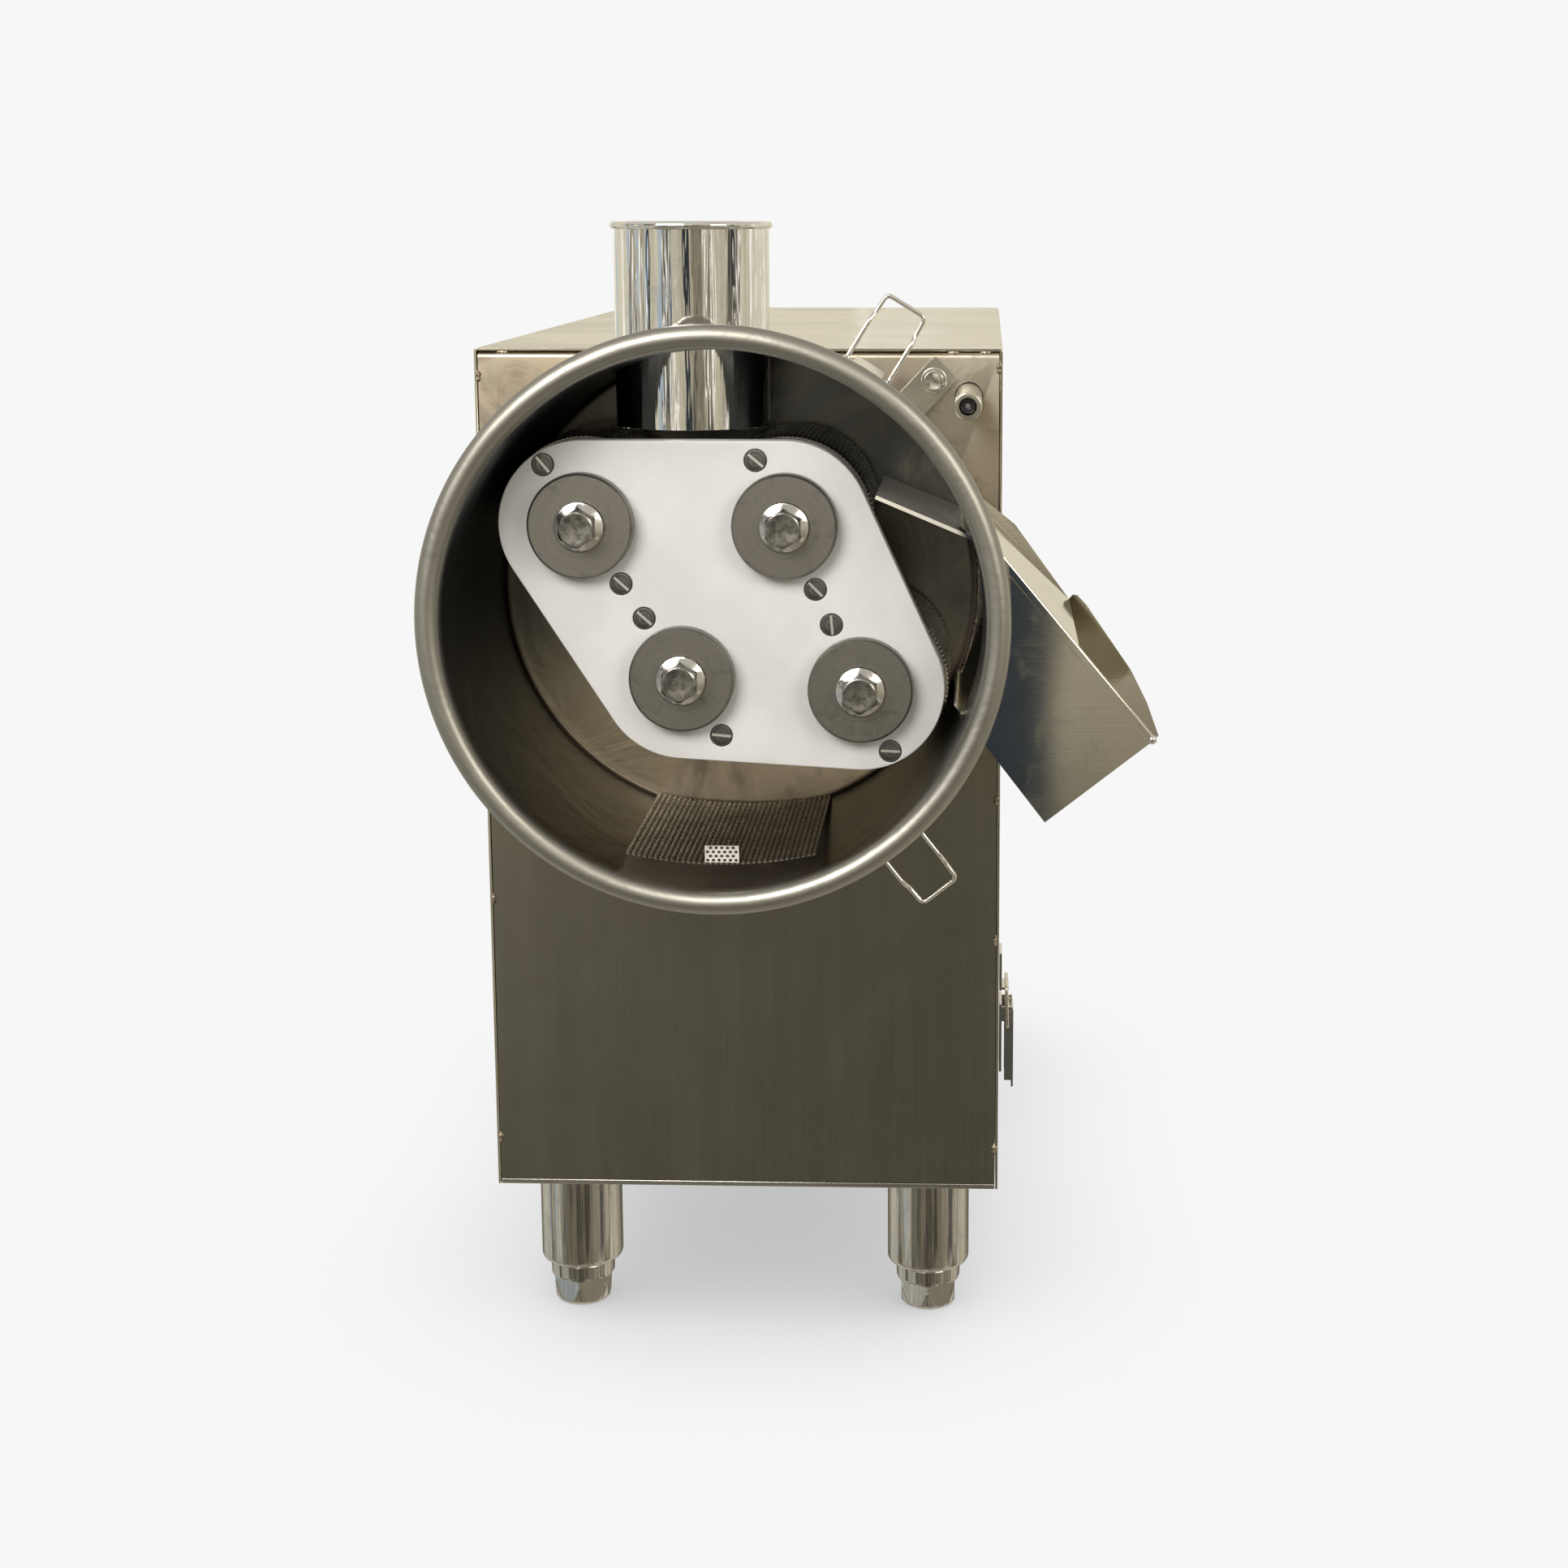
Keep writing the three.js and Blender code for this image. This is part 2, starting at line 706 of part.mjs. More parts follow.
const plateBack = PLATE.front + PLATE.thick;
const plateOutline = hull(
  axes.flatMap(([, a]) => arc(a.x, DRUM.z + a.z, PLATE.corner, 0, 360, 24)),
);
const screws = axes.flatMap(([, a]) =>
  [a.screws, a.screws + 180].map((angle) => {
    const t = THREE.MathUtils.degToRad(angle);
    return [a.x + SCREW.circle * Math.cos(t), DRUM.z + a.z + SCREW.circle * Math.sin(t)];
  }),
);
add(
  "front_bearing_plate",
  cut(
    slab(plateOutline, PLATE.front, plateBack),
    ...axes.map(([, a]) =>
      rod(JOURNAL.radius + GAP, PLATE.front - 5, plateBack + 5, a.x, DRUM.z + a.z, 20),
    ),
    ...screws.map(([x, z]) => rod(SCREW.head, PLATE.front - 1, PLATE.front + SCREW.recess, x, z, 10)),
  ),
  whiteNylon,
);

function rollerOutline(x, z) {
  const { radius, flutes, fluteDepth } = ROLLER;
  return Array.from({ length: flutes * 2 }, (_, i) => {
    const t = (Math.PI * i) / flutes;
    const r = radius - (i % 2) * fluteDepth;
    return [x + r * Math.cos(t), z + r * Math.sin(t)];
  });
}

const BOLT = {
  shank: 6,
  bore: 6.4,
  flange: 13.5,
  flangeThick: 3,
  flats: 18,
  head: 11.5,
  deep: -85,
};
const WASHER = { radius: 28.2, front: -116, chamfer: 1.2 };
for (const [name, axis] of axes) {
  const z = DRUM.z + axis.z;
  const shaftBack = axis === lead ? 140 : GEAR.plane2 + GEAR.width + 2;
  add(
    `roller_${name}`,
    cut(
      join(
        slab(rollerOutline(axis.x, z), ROLLER.front, ROLLER.back),
        rod(JOURNAL.radius, JOURNAL.front - 0.2, ROLLER.front + 1, axis.x, z),
        rod(ROLLER.shaft, ROLLER.back - 1, shaftBack, axis.x, z),
      ),
      rod(BOLT.bore, PLATE.front - 5, BOLT.deep, axis.x, z, 16),
    ),
    darkSteel,
  );
  const { radius, front, chamfer } = WASHER;
  const back = JOURNAL.front - 0.6;
  add(
    `end_washer_${name}`,
    turned(
      [
        [BOLT.bore, back],
        [radius, back],
        [radius, front + chamfer],
        [radius - chamfer, front],
        [BOLT.bore, front],
        [BOLT.bore, back],
      ],
      axis.x,
      z,
      24,
    ),
    darkSteel,
  );
  const seat = front - GAP;
  const hexRadius = BOLT.flats / Math.sqrt(3);
  add(
    `end_bolt_${name}`,
    join(
      slab(arc(axis.x, z, hexRadius, 0, 300, 5), seat - BOLT.head, seat - BOLT.flangeThick + 1),
      turned(
        [
          [0, seat],
          [BOLT.flange, seat],
          [BOLT.flange, seat - 1.2],
          [hexRadius, seat - BOLT.flangeThick],
          [0, seat - BOLT.flangeThick],
        ],
        axis.x,
        z,
      ),
      rod(BOLT.shank, seat - 1, BOLT.deep - 1, axis.x, z, 16),
    ),
    chrome,
  );
}

// ---- Cover interlock: a plunger in a tube, pushed back by the cover onto its switch ---------

const { x: lockX, z: lockZ } = INTERLOCK;
const PLUNGER = { radius: 4.3, back: 38 };
const LOCK_SWITCH = { half: 12, back: 70 };
add(
  "interlock_sleeve",
  turned(
    [
      [INTERLOCK.bore, INTERLOCK.front],
      [INTERLOCK.radius, INTERLOCK.front],
      [INTERLOCK.radius, INTERLOCK.back],
      [INTERLOCK.bore, INTERLOCK.back],
      [INTERLOCK.bore, INTERLOCK.front],
    ],
    lockX,
    lockZ,
    20,
  ),
  polishedSteel,
);
add(
  "interlock_plunger",
  rod(PLUNGER.radius, INTERLOCK.front + 4, PLUNGER.back, lockX, lockZ, 16),
  blackPlastic,
);
const lockSides = [lockX - LOCK_SWITCH.half, lockX + LOCK_SWITCH.half];
add(
  "interlock_switch",
  join(
    block(
      ...lockSides,
      PLUNGER.back + INTERLOCK.travel + 1,
      LOCK_SWITCH.back,
      lockZ - LOCK_SWITCH.half,
      lockZ + LOCK_SWITCH.half,
    ),
    block(...lockSides, PANEL.back + GAP, LOCK_SWITCH.back, lockZ + 11, lockZ + 13),
  ),
  blackPlastic,
);

// ---- Cover latches round the drum: welded base, over-centre lever and wire bail ------------

// Drawn on a latch at the top of the drum: x runs round the drum, z outwards from its centre.
const BAIL = { wire: 1.25, half: 12.5, hook: 6.5, pivotY: LATCH.pinY + 11, pivotR: 150.2 };
const BAIL_REACH = [24.5, 28.5, 40]; // where the legs step sideways, end that step, and end
const FOLDED_BACK = 84; // degrees from standing out to lying back along the drum

function latch(name, angle, folded) {
  const frame = new THREE.Group();
  frame.position.z = DRUM.z;
  frame.rotation.y = Math.PI / 2 - THREE.MathUtils.degToRad(angle);
  machine.add(frame);
  const { pinY, pinR } = LATCH;
  const under = drumOuter(pinY - 8) + WELD;
  const ear = (x0, x1) => block(x0, x1, pinY - 5, pinY + 5, under + 1, pinR + 3.2);
  add(
    `latch_base_${name}`,
    cut(
      join(
        block(-10.8, 10.8, pinY - 7, pinY + 40, under, under + 1.5),
        ear(-10.8, -9.3),
        ear(9.3, 10.8),
      ),
      pin(2.4, -12, 12, pinY, pinR),
    ),
    chrome,
    frame,
  );
  const cheek = (x0, x1) => block(x0, x1, pinY - 3, pinY + 40, pinR - 3, pinR + 3.4);
  add(
    `latch_lever_${name}`,
    cut(
      join(
        cheek(-8.7, -7.5),
        cheek(7.5, 8.7),
        block(-8.7, 8.7, pinY - 3, pinY + 44, pinR + 2.2, pinR + 3.4),
        pin(2, -11.2, 11.2, pinY, pinR),
      ),
      pin(1.65, -9, -7, BAIL.pivotY, BAIL.pivotR),
      pin(1.65, 7, 9, BAIL.pivotY, BAIL.pivotR),
    ),
    chrome,
    frame,
  );
  const swing = new THREE.Group();
  swing.position.set(0, BAIL.pivotY, BAIL.pivotR);
  swing.rotation.x = -THREE.MathUtils.degToRad(folded);
  frame.add(swing);
  const [step, past, end] = BAIL_REACH;
  const leg = (s) => [
    [s * BAIL.hook, 0, 0],
    [s * BAIL.half, 0, 0],
    [s * BAIL.half, 0, step],
    [s * (BAIL.half - 0.5), 2.4, past],
    [s * (BAIL.half - 1), 2.4, end],
  ];
  add(`latch_bail_${name}`, wire([...leg(-1), ...leg(1).reverse()], BAIL.wire), chrome, swing);
}
latch("upper", LATCH.angles.upper, 0);
latch("lower", LATCH.angles.lower, 0);
latch("left", LATCH.angles.left, FOLDED_BACK);

// ---- Side latch: holds the shell down on its base, drawn on the right-hand side panel -------

const wallX = side + GAP;
const leverPin = { x: wallX + 5.5, z: SIDE_LATCH.z - 2 };
const { y: latchY } = SIDE_LATCH;
const span = (half) => [latchY - half, latchY + half];
const pair = (inner, outer, make) => [
  make(latchY - outer, latchY - inner),
  make(latchY + inner, latchY + outer),
];
add(
  "side_latch_keeper",
  cut(
    join(
      block(wallX, wallX + 1.5, ...span(11), 208, 231),
      block(wallX + 1, wallX + 5.6, ...span(9), 208, 209.5),
    ),
    pin(2.4, wallX - 2, wallX + 4, latchY, 223),
  ),
  chrome,
);
add(
  "side_latch_base",
  cut(
    join(
      block(wallX, wallX + 1.5, ...span(12.7), 158, 200),
      ...pair(11.2, 12.7, (y0, y1) => block(wallX + 1, wallX + 8, y0, y1, 189.5, 198.5)),
    ),
    rod(2.4, latchY - 20, latchY + 20, leverPin.x, leverPin.z, 12),
  ),
  chrome,
);
const bailPivot = { x: leverPin.x - 0.5, z: leverPin.z - 8 };
add(
  "side_latch_lever",
  cut(
    join(
      block(leverPin.x + 1.8, leverPin.x + 3, ...span(10.7), 148, leverPin.z + 2.2),
      ...pair(9.5, 10.7, (y0, y1) =>
        block(leverPin.x - 2.4, leverPin.x + 3, y0, y1, 152, leverPin.z + 2.2),
      ),
      rod(2, latchY - 13, latchY + 13, leverPin.x, leverPin.z, 12),
    ),
    ...pair(9, 11.5, (y0, y1) => rod(1.5, y0, y1, bailPivot.x, bailPivot.z, 10)),
  ),
  chrome,
);
const sideLeg = (s) => [
  [bailPivot.x, latchY + s * 8.5, bailPivot.z],
  [bailPivot.x, latchY + s * 14.2, bailPivot.z],
  [bailPivot.x - 0.8, latchY + s * 14.2, 211.2],
];
add("side_latch_bail", wire([...sideLeg(-1), ...sideLeg(1).reverse()], 1.1), chrome);

// ---- Legs: a welded sleeve and a screw foot at each corner ---------------------------------

const FOOT = { radius: 19.75, stem: 13, top: LEG.height - LEG.sleeve, stemTop: 70 };
const rearLegY = CABINET.depth - LEG.y;
const legs = {
  front_left: [-LEG.x, LEG.y],
  front_right: [LEG.x, LEG.y],
  rear_left: [-LEG.x, rearLegY],
  rear_right: [LEG.x, rearLegY],
};
const shoulder = FOOT.top + GAP;
for (const [name, [x, y]] of Object.entries(legs)) {
  add(
    `leg_sleeve_${name}`,
    upright(
      [
        [LEG.bore, shoulder],
        [LEG.radius - 3.5, shoulder],
        [LEG.radius - 1, shoulder + 1.2],
        [LEG.radius, shoulder + 3.8],
        [LEG.radius, FLOOR - GAP],
        [LEG.bore, FLOOR - GAP],
        [LEG.bore, shoulder],
      ],
      x,
      y,
      20,
    ),
    polishedSteel,
  );
  add(
    `leg_foot_${name}`,
    upright(
      [
        [0, 0],
        [14.5, 0],
        [17, 2.5],
        [FOOT.radius - 0.4, 15],
        [FOOT.radius, FOOT.top],
        [FOOT.stem, FOOT.top],
        [FOOT.stem, FOOT.stemTop],
        [0, FOOT.stemTop],
      ],
      x,
      y,
      16,
    ),
    polishedSteel,
  );
}

// ---- The part's own frame: its origin is under the middle of its outline, on the floor ------

machine.updateMatrixWorld(true);
const middle = new THREE.Box3().setFromObject(machine, true).getCenter(new THREE.Vector3());
machine.position.set(-middle.x, -middle.y, 0);

const extractor = new THREE.Group();
extractor.name = "sugarcane_juice_extractor";
extractor.add(machine);
export default extractor;
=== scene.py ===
import json
import math

import bmesh
import bpy
import numpy as np
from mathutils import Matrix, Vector

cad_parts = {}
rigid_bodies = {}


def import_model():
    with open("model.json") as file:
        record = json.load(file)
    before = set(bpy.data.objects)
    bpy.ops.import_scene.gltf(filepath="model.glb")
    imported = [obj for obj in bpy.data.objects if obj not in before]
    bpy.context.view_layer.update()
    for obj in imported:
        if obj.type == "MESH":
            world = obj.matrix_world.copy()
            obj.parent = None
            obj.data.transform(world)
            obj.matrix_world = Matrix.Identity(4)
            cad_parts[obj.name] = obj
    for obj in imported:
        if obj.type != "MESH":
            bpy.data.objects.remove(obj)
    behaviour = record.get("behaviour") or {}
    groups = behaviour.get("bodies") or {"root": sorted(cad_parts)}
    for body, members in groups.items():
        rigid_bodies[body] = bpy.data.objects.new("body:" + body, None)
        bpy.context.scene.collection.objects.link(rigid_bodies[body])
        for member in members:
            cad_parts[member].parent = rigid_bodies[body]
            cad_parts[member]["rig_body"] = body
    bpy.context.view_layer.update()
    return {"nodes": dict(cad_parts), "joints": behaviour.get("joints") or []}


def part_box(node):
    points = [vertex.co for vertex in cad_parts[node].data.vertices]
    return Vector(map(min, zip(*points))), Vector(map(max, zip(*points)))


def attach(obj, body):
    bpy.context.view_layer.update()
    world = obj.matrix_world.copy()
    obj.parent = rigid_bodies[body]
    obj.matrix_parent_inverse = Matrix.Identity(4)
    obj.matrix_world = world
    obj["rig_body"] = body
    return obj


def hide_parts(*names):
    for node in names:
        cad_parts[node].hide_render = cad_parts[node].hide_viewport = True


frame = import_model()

# ---- Camera, floor and light --------------------------------------------------------------
# The machine stands on a plain pale floor under a large soft lamp and a weaker one. Its metal
# mirrors a room of beige walls, a dark floor and a few tall windows, which the camera can't see.

MM = 0.001
drum_low, drum_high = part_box("drum_wall")
DATUM = np.array([(drum_low.x + drum_high.x) / 2, drum_high.y, 0.0])
AXIS_Z = (drum_low.z + drum_high.z) / 2 / MM
LENS = 56.7
EYE = (141.5, -1398.8, AXIS_Z + 211.3)
PITCH, YAW = 9.92, 1.81
SHIFT = (-0.080, -0.091)
PALE = (0.93, 0.93, 0.93)


class Term:
    """One socket in a node tree. Arithmetic on it adds Math nodes and gives a new Term."""

    def __init__(self, tree, socket):
        self.tree = tree
        self.socket = socket

    def maths(self, operation, *others, turned=False):
        node = self.tree.nodes.new("ShaderNodeMath")
        node.operation = operation
        terms = (*others, self) if turned else (self, *others)
        for socket, term in zip(node.inputs, terms):
            if isinstance(term, Term):
                self.tree.links.new(term.socket, socket)
            else:
                socket.default_value = term
        return Term(self.tree, node.outputs[0])

    def __add__(self, other):
        return self.maths("ADD", other)

    __radd__ = __add__

    def __sub__(self, other):
        return self.maths("SUBTRACT", other)

    def __rsub__(self, other):
        return self.maths("SUBTRACT", other, turned=True)

    def __mul__(self, other):
        return self.maths("MULTIPLY", other)

    __rmul__ = __mul__

    def __truediv__(self, other):
        return self.maths("DIVIDE", other)

    def rise(self, start, end):
        """0 before start, 1 past end, and a smooth slope between them."""
        return Graph(self.tree).node(
            "MapRange",
            {"interpolation_type": "SMOOTHSTEP"},
            {"Value": self, "From Min": start, "From Max": end},
        )

    def near(self, value, width):
        """1 at value, falling smoothly to 0 at width from it on both sides."""
        return 1 - (self - value).maths("ABSOLUTE").rise(0, width)


class Graph:
    """A node tree whose nodes are all made by one method."""

    def __init__(self, tree):
        self.tree = tree

    def node(self, kind, settings=None, inputs=None, out=0):
        """A node of that kind: its settings, its inputs' values or links, and one output."""
        made = self.tree.nodes.new("ShaderNode" + kind)
        for name, value in (settings or {}).items():
            if name == "stops":
                ramp = made.color_ramp.elements
                while len(ramp) < len(value):
                    ramp.new(0.5)
                for stop, (place, colour) in zip(ramp, value):
                    stop.position = place
                    stop.color = (*colour, 1)
            else:
                setattr(made, name, value)
        for name, value in (inputs or {}).items():
            if isinstance(value, Term):
                self.tree.links.new(value.socket, made.inputs[name])
            else:
                made.inputs[name].default_value = value
        return Term(self.tree, made.outputs[out])

    def mix(self, factor, first, second):
        """A colour between first and second."""
        first, second = ((*c, 1) if isinstance(c, tuple) else c for c in (first, second))
        return self.node("Mix", {"data_type": "RGBA"}, {0: factor, 6: first, 7: second}, out=2)

    def split(self, vector):
        made = self.node("SeparateXYZ", inputs={"Vector": vector})
        return [Term(self.tree, socket) for socket in made.socket.node.outputs]

    def joined(self, x, y, z):
        return self.node("CombineXYZ", inputs={"X": x, "Y": y, "Z": z})

    def noise(self, vector, scale=1.0, detail=2.0, rough=0.5, bend=0.0):
        values = {"Vector": vector, "Scale": scale, "Detail": detail}
        return self.node("TexNoise", None, {**values, "Roughness": rough, "Distortion": bend})


def at(points):
    """Millimetres from the datum to metres in the frame."""
    return np.asarray(points, float) * MM + DATUM


def span(node):
    """A CAD node's lowest and highest corners, in millimetres from the datum."""
    return [np.array(corner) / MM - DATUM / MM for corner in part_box(node)]


scene = bpy.context.scene
scene.view_settings.view_transform = "Standard"
lens = bpy.data.cameras.new("camera")
lens.lens = LENS
lens.shift_x, lens.shift_y = SHIFT
camera = bpy.data.objects.new("camera", lens)
camera.location = at(EYE)
camera.rotation_euler = (math.radians(90 - PITCH), 0, math.radians(YAW))
scene.collection.objects.link(camera)
scene.camera = camera


def room():
    """The world: pale to the camera. The metal mirrors walls, windows, a floor and a screen."""
    world = bpy.data.worlds.new("room")
    scene.world = world
    world.use_nodes = True
    world.node_tree.nodes.clear()
    g = Graph(world.node_tree)
    way = g.node("TexCoord", out="Generated")
    x, y, z = g.split(way)
    walls = g.noise(g.joined(x * 2.2, y * 2.2, z * 0.7), 1.6, 3.0, 0.55)
    beige, shade, blue = (0.74, 0.69, 0.55), (0.045, 0.047, 0.05), (0.45, 0.57, 0.70)
    stops = [(0.40, shade), (0.47, (0.26, 0.23, 0.17)), (0.55, (0.52, 0.48, 0.37)), (0.66, beige)]
    middle = g.node("ValToRGB", {"stops": stops}, {"Fac": walls})
    back = g.mix(y.rise(-0.1, 0.5), middle, beige)
    windows = g.noise(g.joined(x * 5.0, y * 5.0, z * 0.4), 1.7, 1.0).rise(0.60, 0.64)
    left = (x * -1).rise(0.25, 0.7)
    glazed = g.mix(windows * left, back, blue)
    panes = g.noise(g.joined(x * 7.0, y * 7.0, z * 0.3), 2.3, 1.0).rise(0.60, 0.63)
    lit = g.mix(panes, glazed, (1.15, 1.12, 1.05))
    ceiling = g.mix(z.rise(0.30, 0.75), lit, (0.62, 0.60, 0.55))
    tiles = g.noise(g.joined(x * 6.0, y * 6.0, z * 0.3), 1.9, 2.0).rise(0.42, 0.58)
    dark_floor = g.mix(tiles, (0.045, 0.042, 0.035), (0.30, 0.27, 0.21))
    beneath = (z * -1).rise(0.14, 0.34) * y.maths("ABSOLUTE").rise(0.35, 0.90)
    ground = g.mix(beneath, ceiling, dark_floor)
    ahead = x / (y * -1 + 0.0001) + (walls - 0.5) * 0.05
    screen = ahead.rise(-0.058, -0.050) * (1 - ahead.rise(0.022, 0.027)) * (y * -1).rise(0.5, 0.6)
    ground = g.mix(screen * (1 - z.rise(0.02, 0.06)), ground, (0.032, 0.041, 0.052))
    seen = g.node("LightPath", out="Is Camera Ray")
    colour = g.mix(seen, ground, PALE)
    light = g.node("Background", None, {"Color": colour, "Strength": 1.0})
    end = world.node_tree.nodes.new("ShaderNodeOutputWorld")
    world.node_tree.links.new(light.socket, end.inputs["Surface"])


room()


def lamp(name, where, towards, wide, high, watts, colour):
    """A soft rectangular lamp, its place and its aim in millimetres from the datum."""
    light = bpy.data.lights.new(name, "AREA")
    light.shape = "RECTANGLE"
    light.size, light.size_y = wide * MM, high * MM
    light.energy, light.color = watts, colour
    made = bpy.data.objects.new(name, light)
    made.location = at(where)
    aim = Vector(at(towards) - at(where))
    made.rotation_euler = aim.to_track_quat("-Z", "Y").to_euler()
    scene.collection.objects.link(made)


lamp("key_lamp", (-900, -1900, 1750), (0, 0, AXIS_Z), 1500, 1100, 62, (1.0, 0.98, 0.95))
lamp("fill_lamp", (1500, -1500, 1300), (0, 0, AXIS_Z), 900, 900, 16, (1.0, 0.97, 0.90))


def pale_floor():
    """The floor: even and pale, with a painted soft shadow close under what stands on it, and
    unseen by metal.
    """
    half = 6000
    mesh = bpy.data.meshes.new("floor")
    corners = at([(-half, -half, 0), (half, -half, 0), (half, half, 0), (-half, half, 0)])
    mesh.from_pydata(corners.tolist(), [], [(0, 1, 2, 3)])
    made = bpy.data.objects.new("floor", mesh)
    scene.collection.objects.link(made)
    material = bpy.data.materials.new("floor")
    material.use_nodes = True
    material.node_tree.nodes.clear()
    g = Graph(material.node_tree)
    # Painted shadow: the floor's glow is darkened where something stands close above it.
    open_sky = g.node("AmbientOcclusion", {"samples": 12}, {"Distance": 0.20}, out="AO")
    shade = g.mix(open_sky.rise(0.0, 1.0), (0.48, 0.48, 0.48), PALE)
    glow = g.node("Emission", None, {"Color": shade, "Strength": 1.0})
    clear = g.node("BsdfTransparent")
    seen = g.node("LightPath", out="Is Camera Ray")
    both = g.node("MixShader", None, {0: seen, 1: clear, 2: glow})
    end = g.tree.nodes.new("ShaderNodeOutputMaterial")
    g.tree.links.new(both.socket, end.inputs["Surface"])
    mesh.materials.append(material)


pale_floor()

# ---- Cabinet shell ------------------------------------------------------------------------
# One stainless sheet 1.5 mm thick, bent over the top and down both sides, and open in front
# and behind. It is polished, slightly wavy, and warm where it mirrors the walls.

SOFT_EDGE = 0.35  # rounding of a sheet's cut edge


class Finish(Graph):
    """A material: a Principled shader whose fixed sockets are set on it and never linked."""

    def __init__(self, name, **fixed):
        self.material = bpy.data.materials.new(name)
        self.material.use_nodes = True
        super().__init__(self.material.node_tree)
        self.tree.nodes.clear()
        self.shader = self.tree.nodes.new("ShaderNodeBsdfPrincipled")
        end = self.tree.nodes.new("ShaderNodeOutputMaterial")
        self.tree.links.new(self.shader.outputs[0], end.inputs["Surface"])
        for name, value in fixed.items():
            self.shader.inputs[name.replace("_", " ")].default_value = value

    def feed(self, colour=None, roughness=None, height=None, depth=0.1):
        """Links what varies over the surface. height is in units of depth millimetres."""
        for name, value in (("Base Color", colour), ("Roughness", roughness)):
            if isinstance(value, Term):
                self.tree.links.new(value.socket, self.shader.inputs[name])
            elif value is not None:
                given = (*value, 1) if isinstance(value, tuple) else value
                self.shader.inputs[name].default_value = given
        if height is not None:
            bump = self.node("Bump", None, {"Distance": depth * MM, "Height": height})
            self.tree.links.new(bump.socket, self.shader.inputs["Normal"])
        return self.material

    def place(self, centre=(0, 0, 0)):
        """The point in millimetres from a centre, itself in millimetres from the datum."""
        shift = tuple(-at(centre) / MM)
        there = self.node("TexCoord", out="Object")
        values = {"Vector": there, "Location": shift, "Scale": (1 / MM,) * 3}
        return self.node("Mapping", None, values)

    def stretched(self, place, across, along, axis):
        """Noise drawn out along one axis, as brushing or polishing leaves it."""
        x, y, z = self.split(place)
        scales = [across] * 3
        scales["xyz".index(axis)] = along
        return self.noise(self.joined(x * scales[0], y * scales[1], z * scales[2]), 1.0, 3.0, 0.6)


def sheet_steel(name, light, dark, roughness, axis, wave):
    """Rolled stainless sheet: polishing lines along one axis, slow waves and cloudy colour."""
    f = Finish(name, Metallic=1.0)
    place = f.place()
    fine = f.stretched(place, 1.4, 0.012, axis)
    cloud = f.noise(place, 0.009, 3.0, 0.55)
    smear = f.noise(place, 0.035, 4.0, 0.65, 0.8)
    colour = f.mix(cloud.rise(0.35, 0.65), dark, light)
    colour = f.mix(smear.rise(0.58, 0.75) * 0.35, colour, dark)
    swell = f.noise(place, 0.0065, 1.0, 0.4)
    height = fine * 0.02 + swell * (wave * 12)
    rough = roughness + (fine - 0.5) * (0.35 * roughness) + smear.rise(0.5, 0.8) * 0.07
    return f.feed(colour, rough, height, 1.0)


def shown(name, mesh, material, body, instead=()):
    """A finished mesh as a piece: its material, the body it rides on and what it stands for."""
    made = bpy.data.objects.new(name, mesh)
    scene.collection.objects.link(made)
    mesh.materials.clear()
    mesh.materials.append(material)
    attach(made, body)
    if instead:
        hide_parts(*instead)
    return made


def smoothed(mesh, angle=32):
    """Shades a mesh smoothly up to an angle between faces, and keeps sharper edges."""
    mesh.shade_smooth()
    mesh.set_sharp_from_angle(angle=math.radians(angle))


def eased(made, edge, steps):
    """Rounds a piece's sharp edges with a bevel that stays live, and gives the bevel back."""
    bevel = made.modifiers.new("edges", "BEVEL")
    bevel.width, bevel.segments, bevel.limit_method = edge * MM, steps, "ANGLE"
    return bevel


def softened(node, material, edge=SOFT_EDGE, steps=2):
    """A CAD node's shape with its triangles joined into faces and its sharp edges rounded."""
    source = frame["nodes"][node]
    mesh = source.data.copy()
    work = bmesh.new()
    work.from_mesh(mesh)
    bmesh.ops.remove_doubles(work, verts=work.verts, dist=1e-6)
    flat = math.radians(1.5)
    bmesh.ops.dissolve_limit(work, angle_limit=flat, verts=work.verts, edges=work.edges)
    work.to_mesh(mesh)
    work.free()
    smoothed(mesh)
    made = shown(node + "_sheet", mesh, material, source["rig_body"], (node,))
    eased(made, edge, steps).angle_limit = math.radians(35)


shell_steel = sheet_steel("shell_steel", (0.76, 0.72, 0.60), (0.68, 0.64, 0.53), 0.13, "y", 0.35)
softened("body_shell", shell_steel)

# ---- Front panel and its tack welds -------------------------------------------------------
# A sheet brushed up and down, with its top edge bent back under the shell. Heat from welding
# the drum's seat has left straw and brown tints, and small tacks hold its edges to the shell.

DRUM_SEAT = 168  # radius of the heated ring round the drum's seat


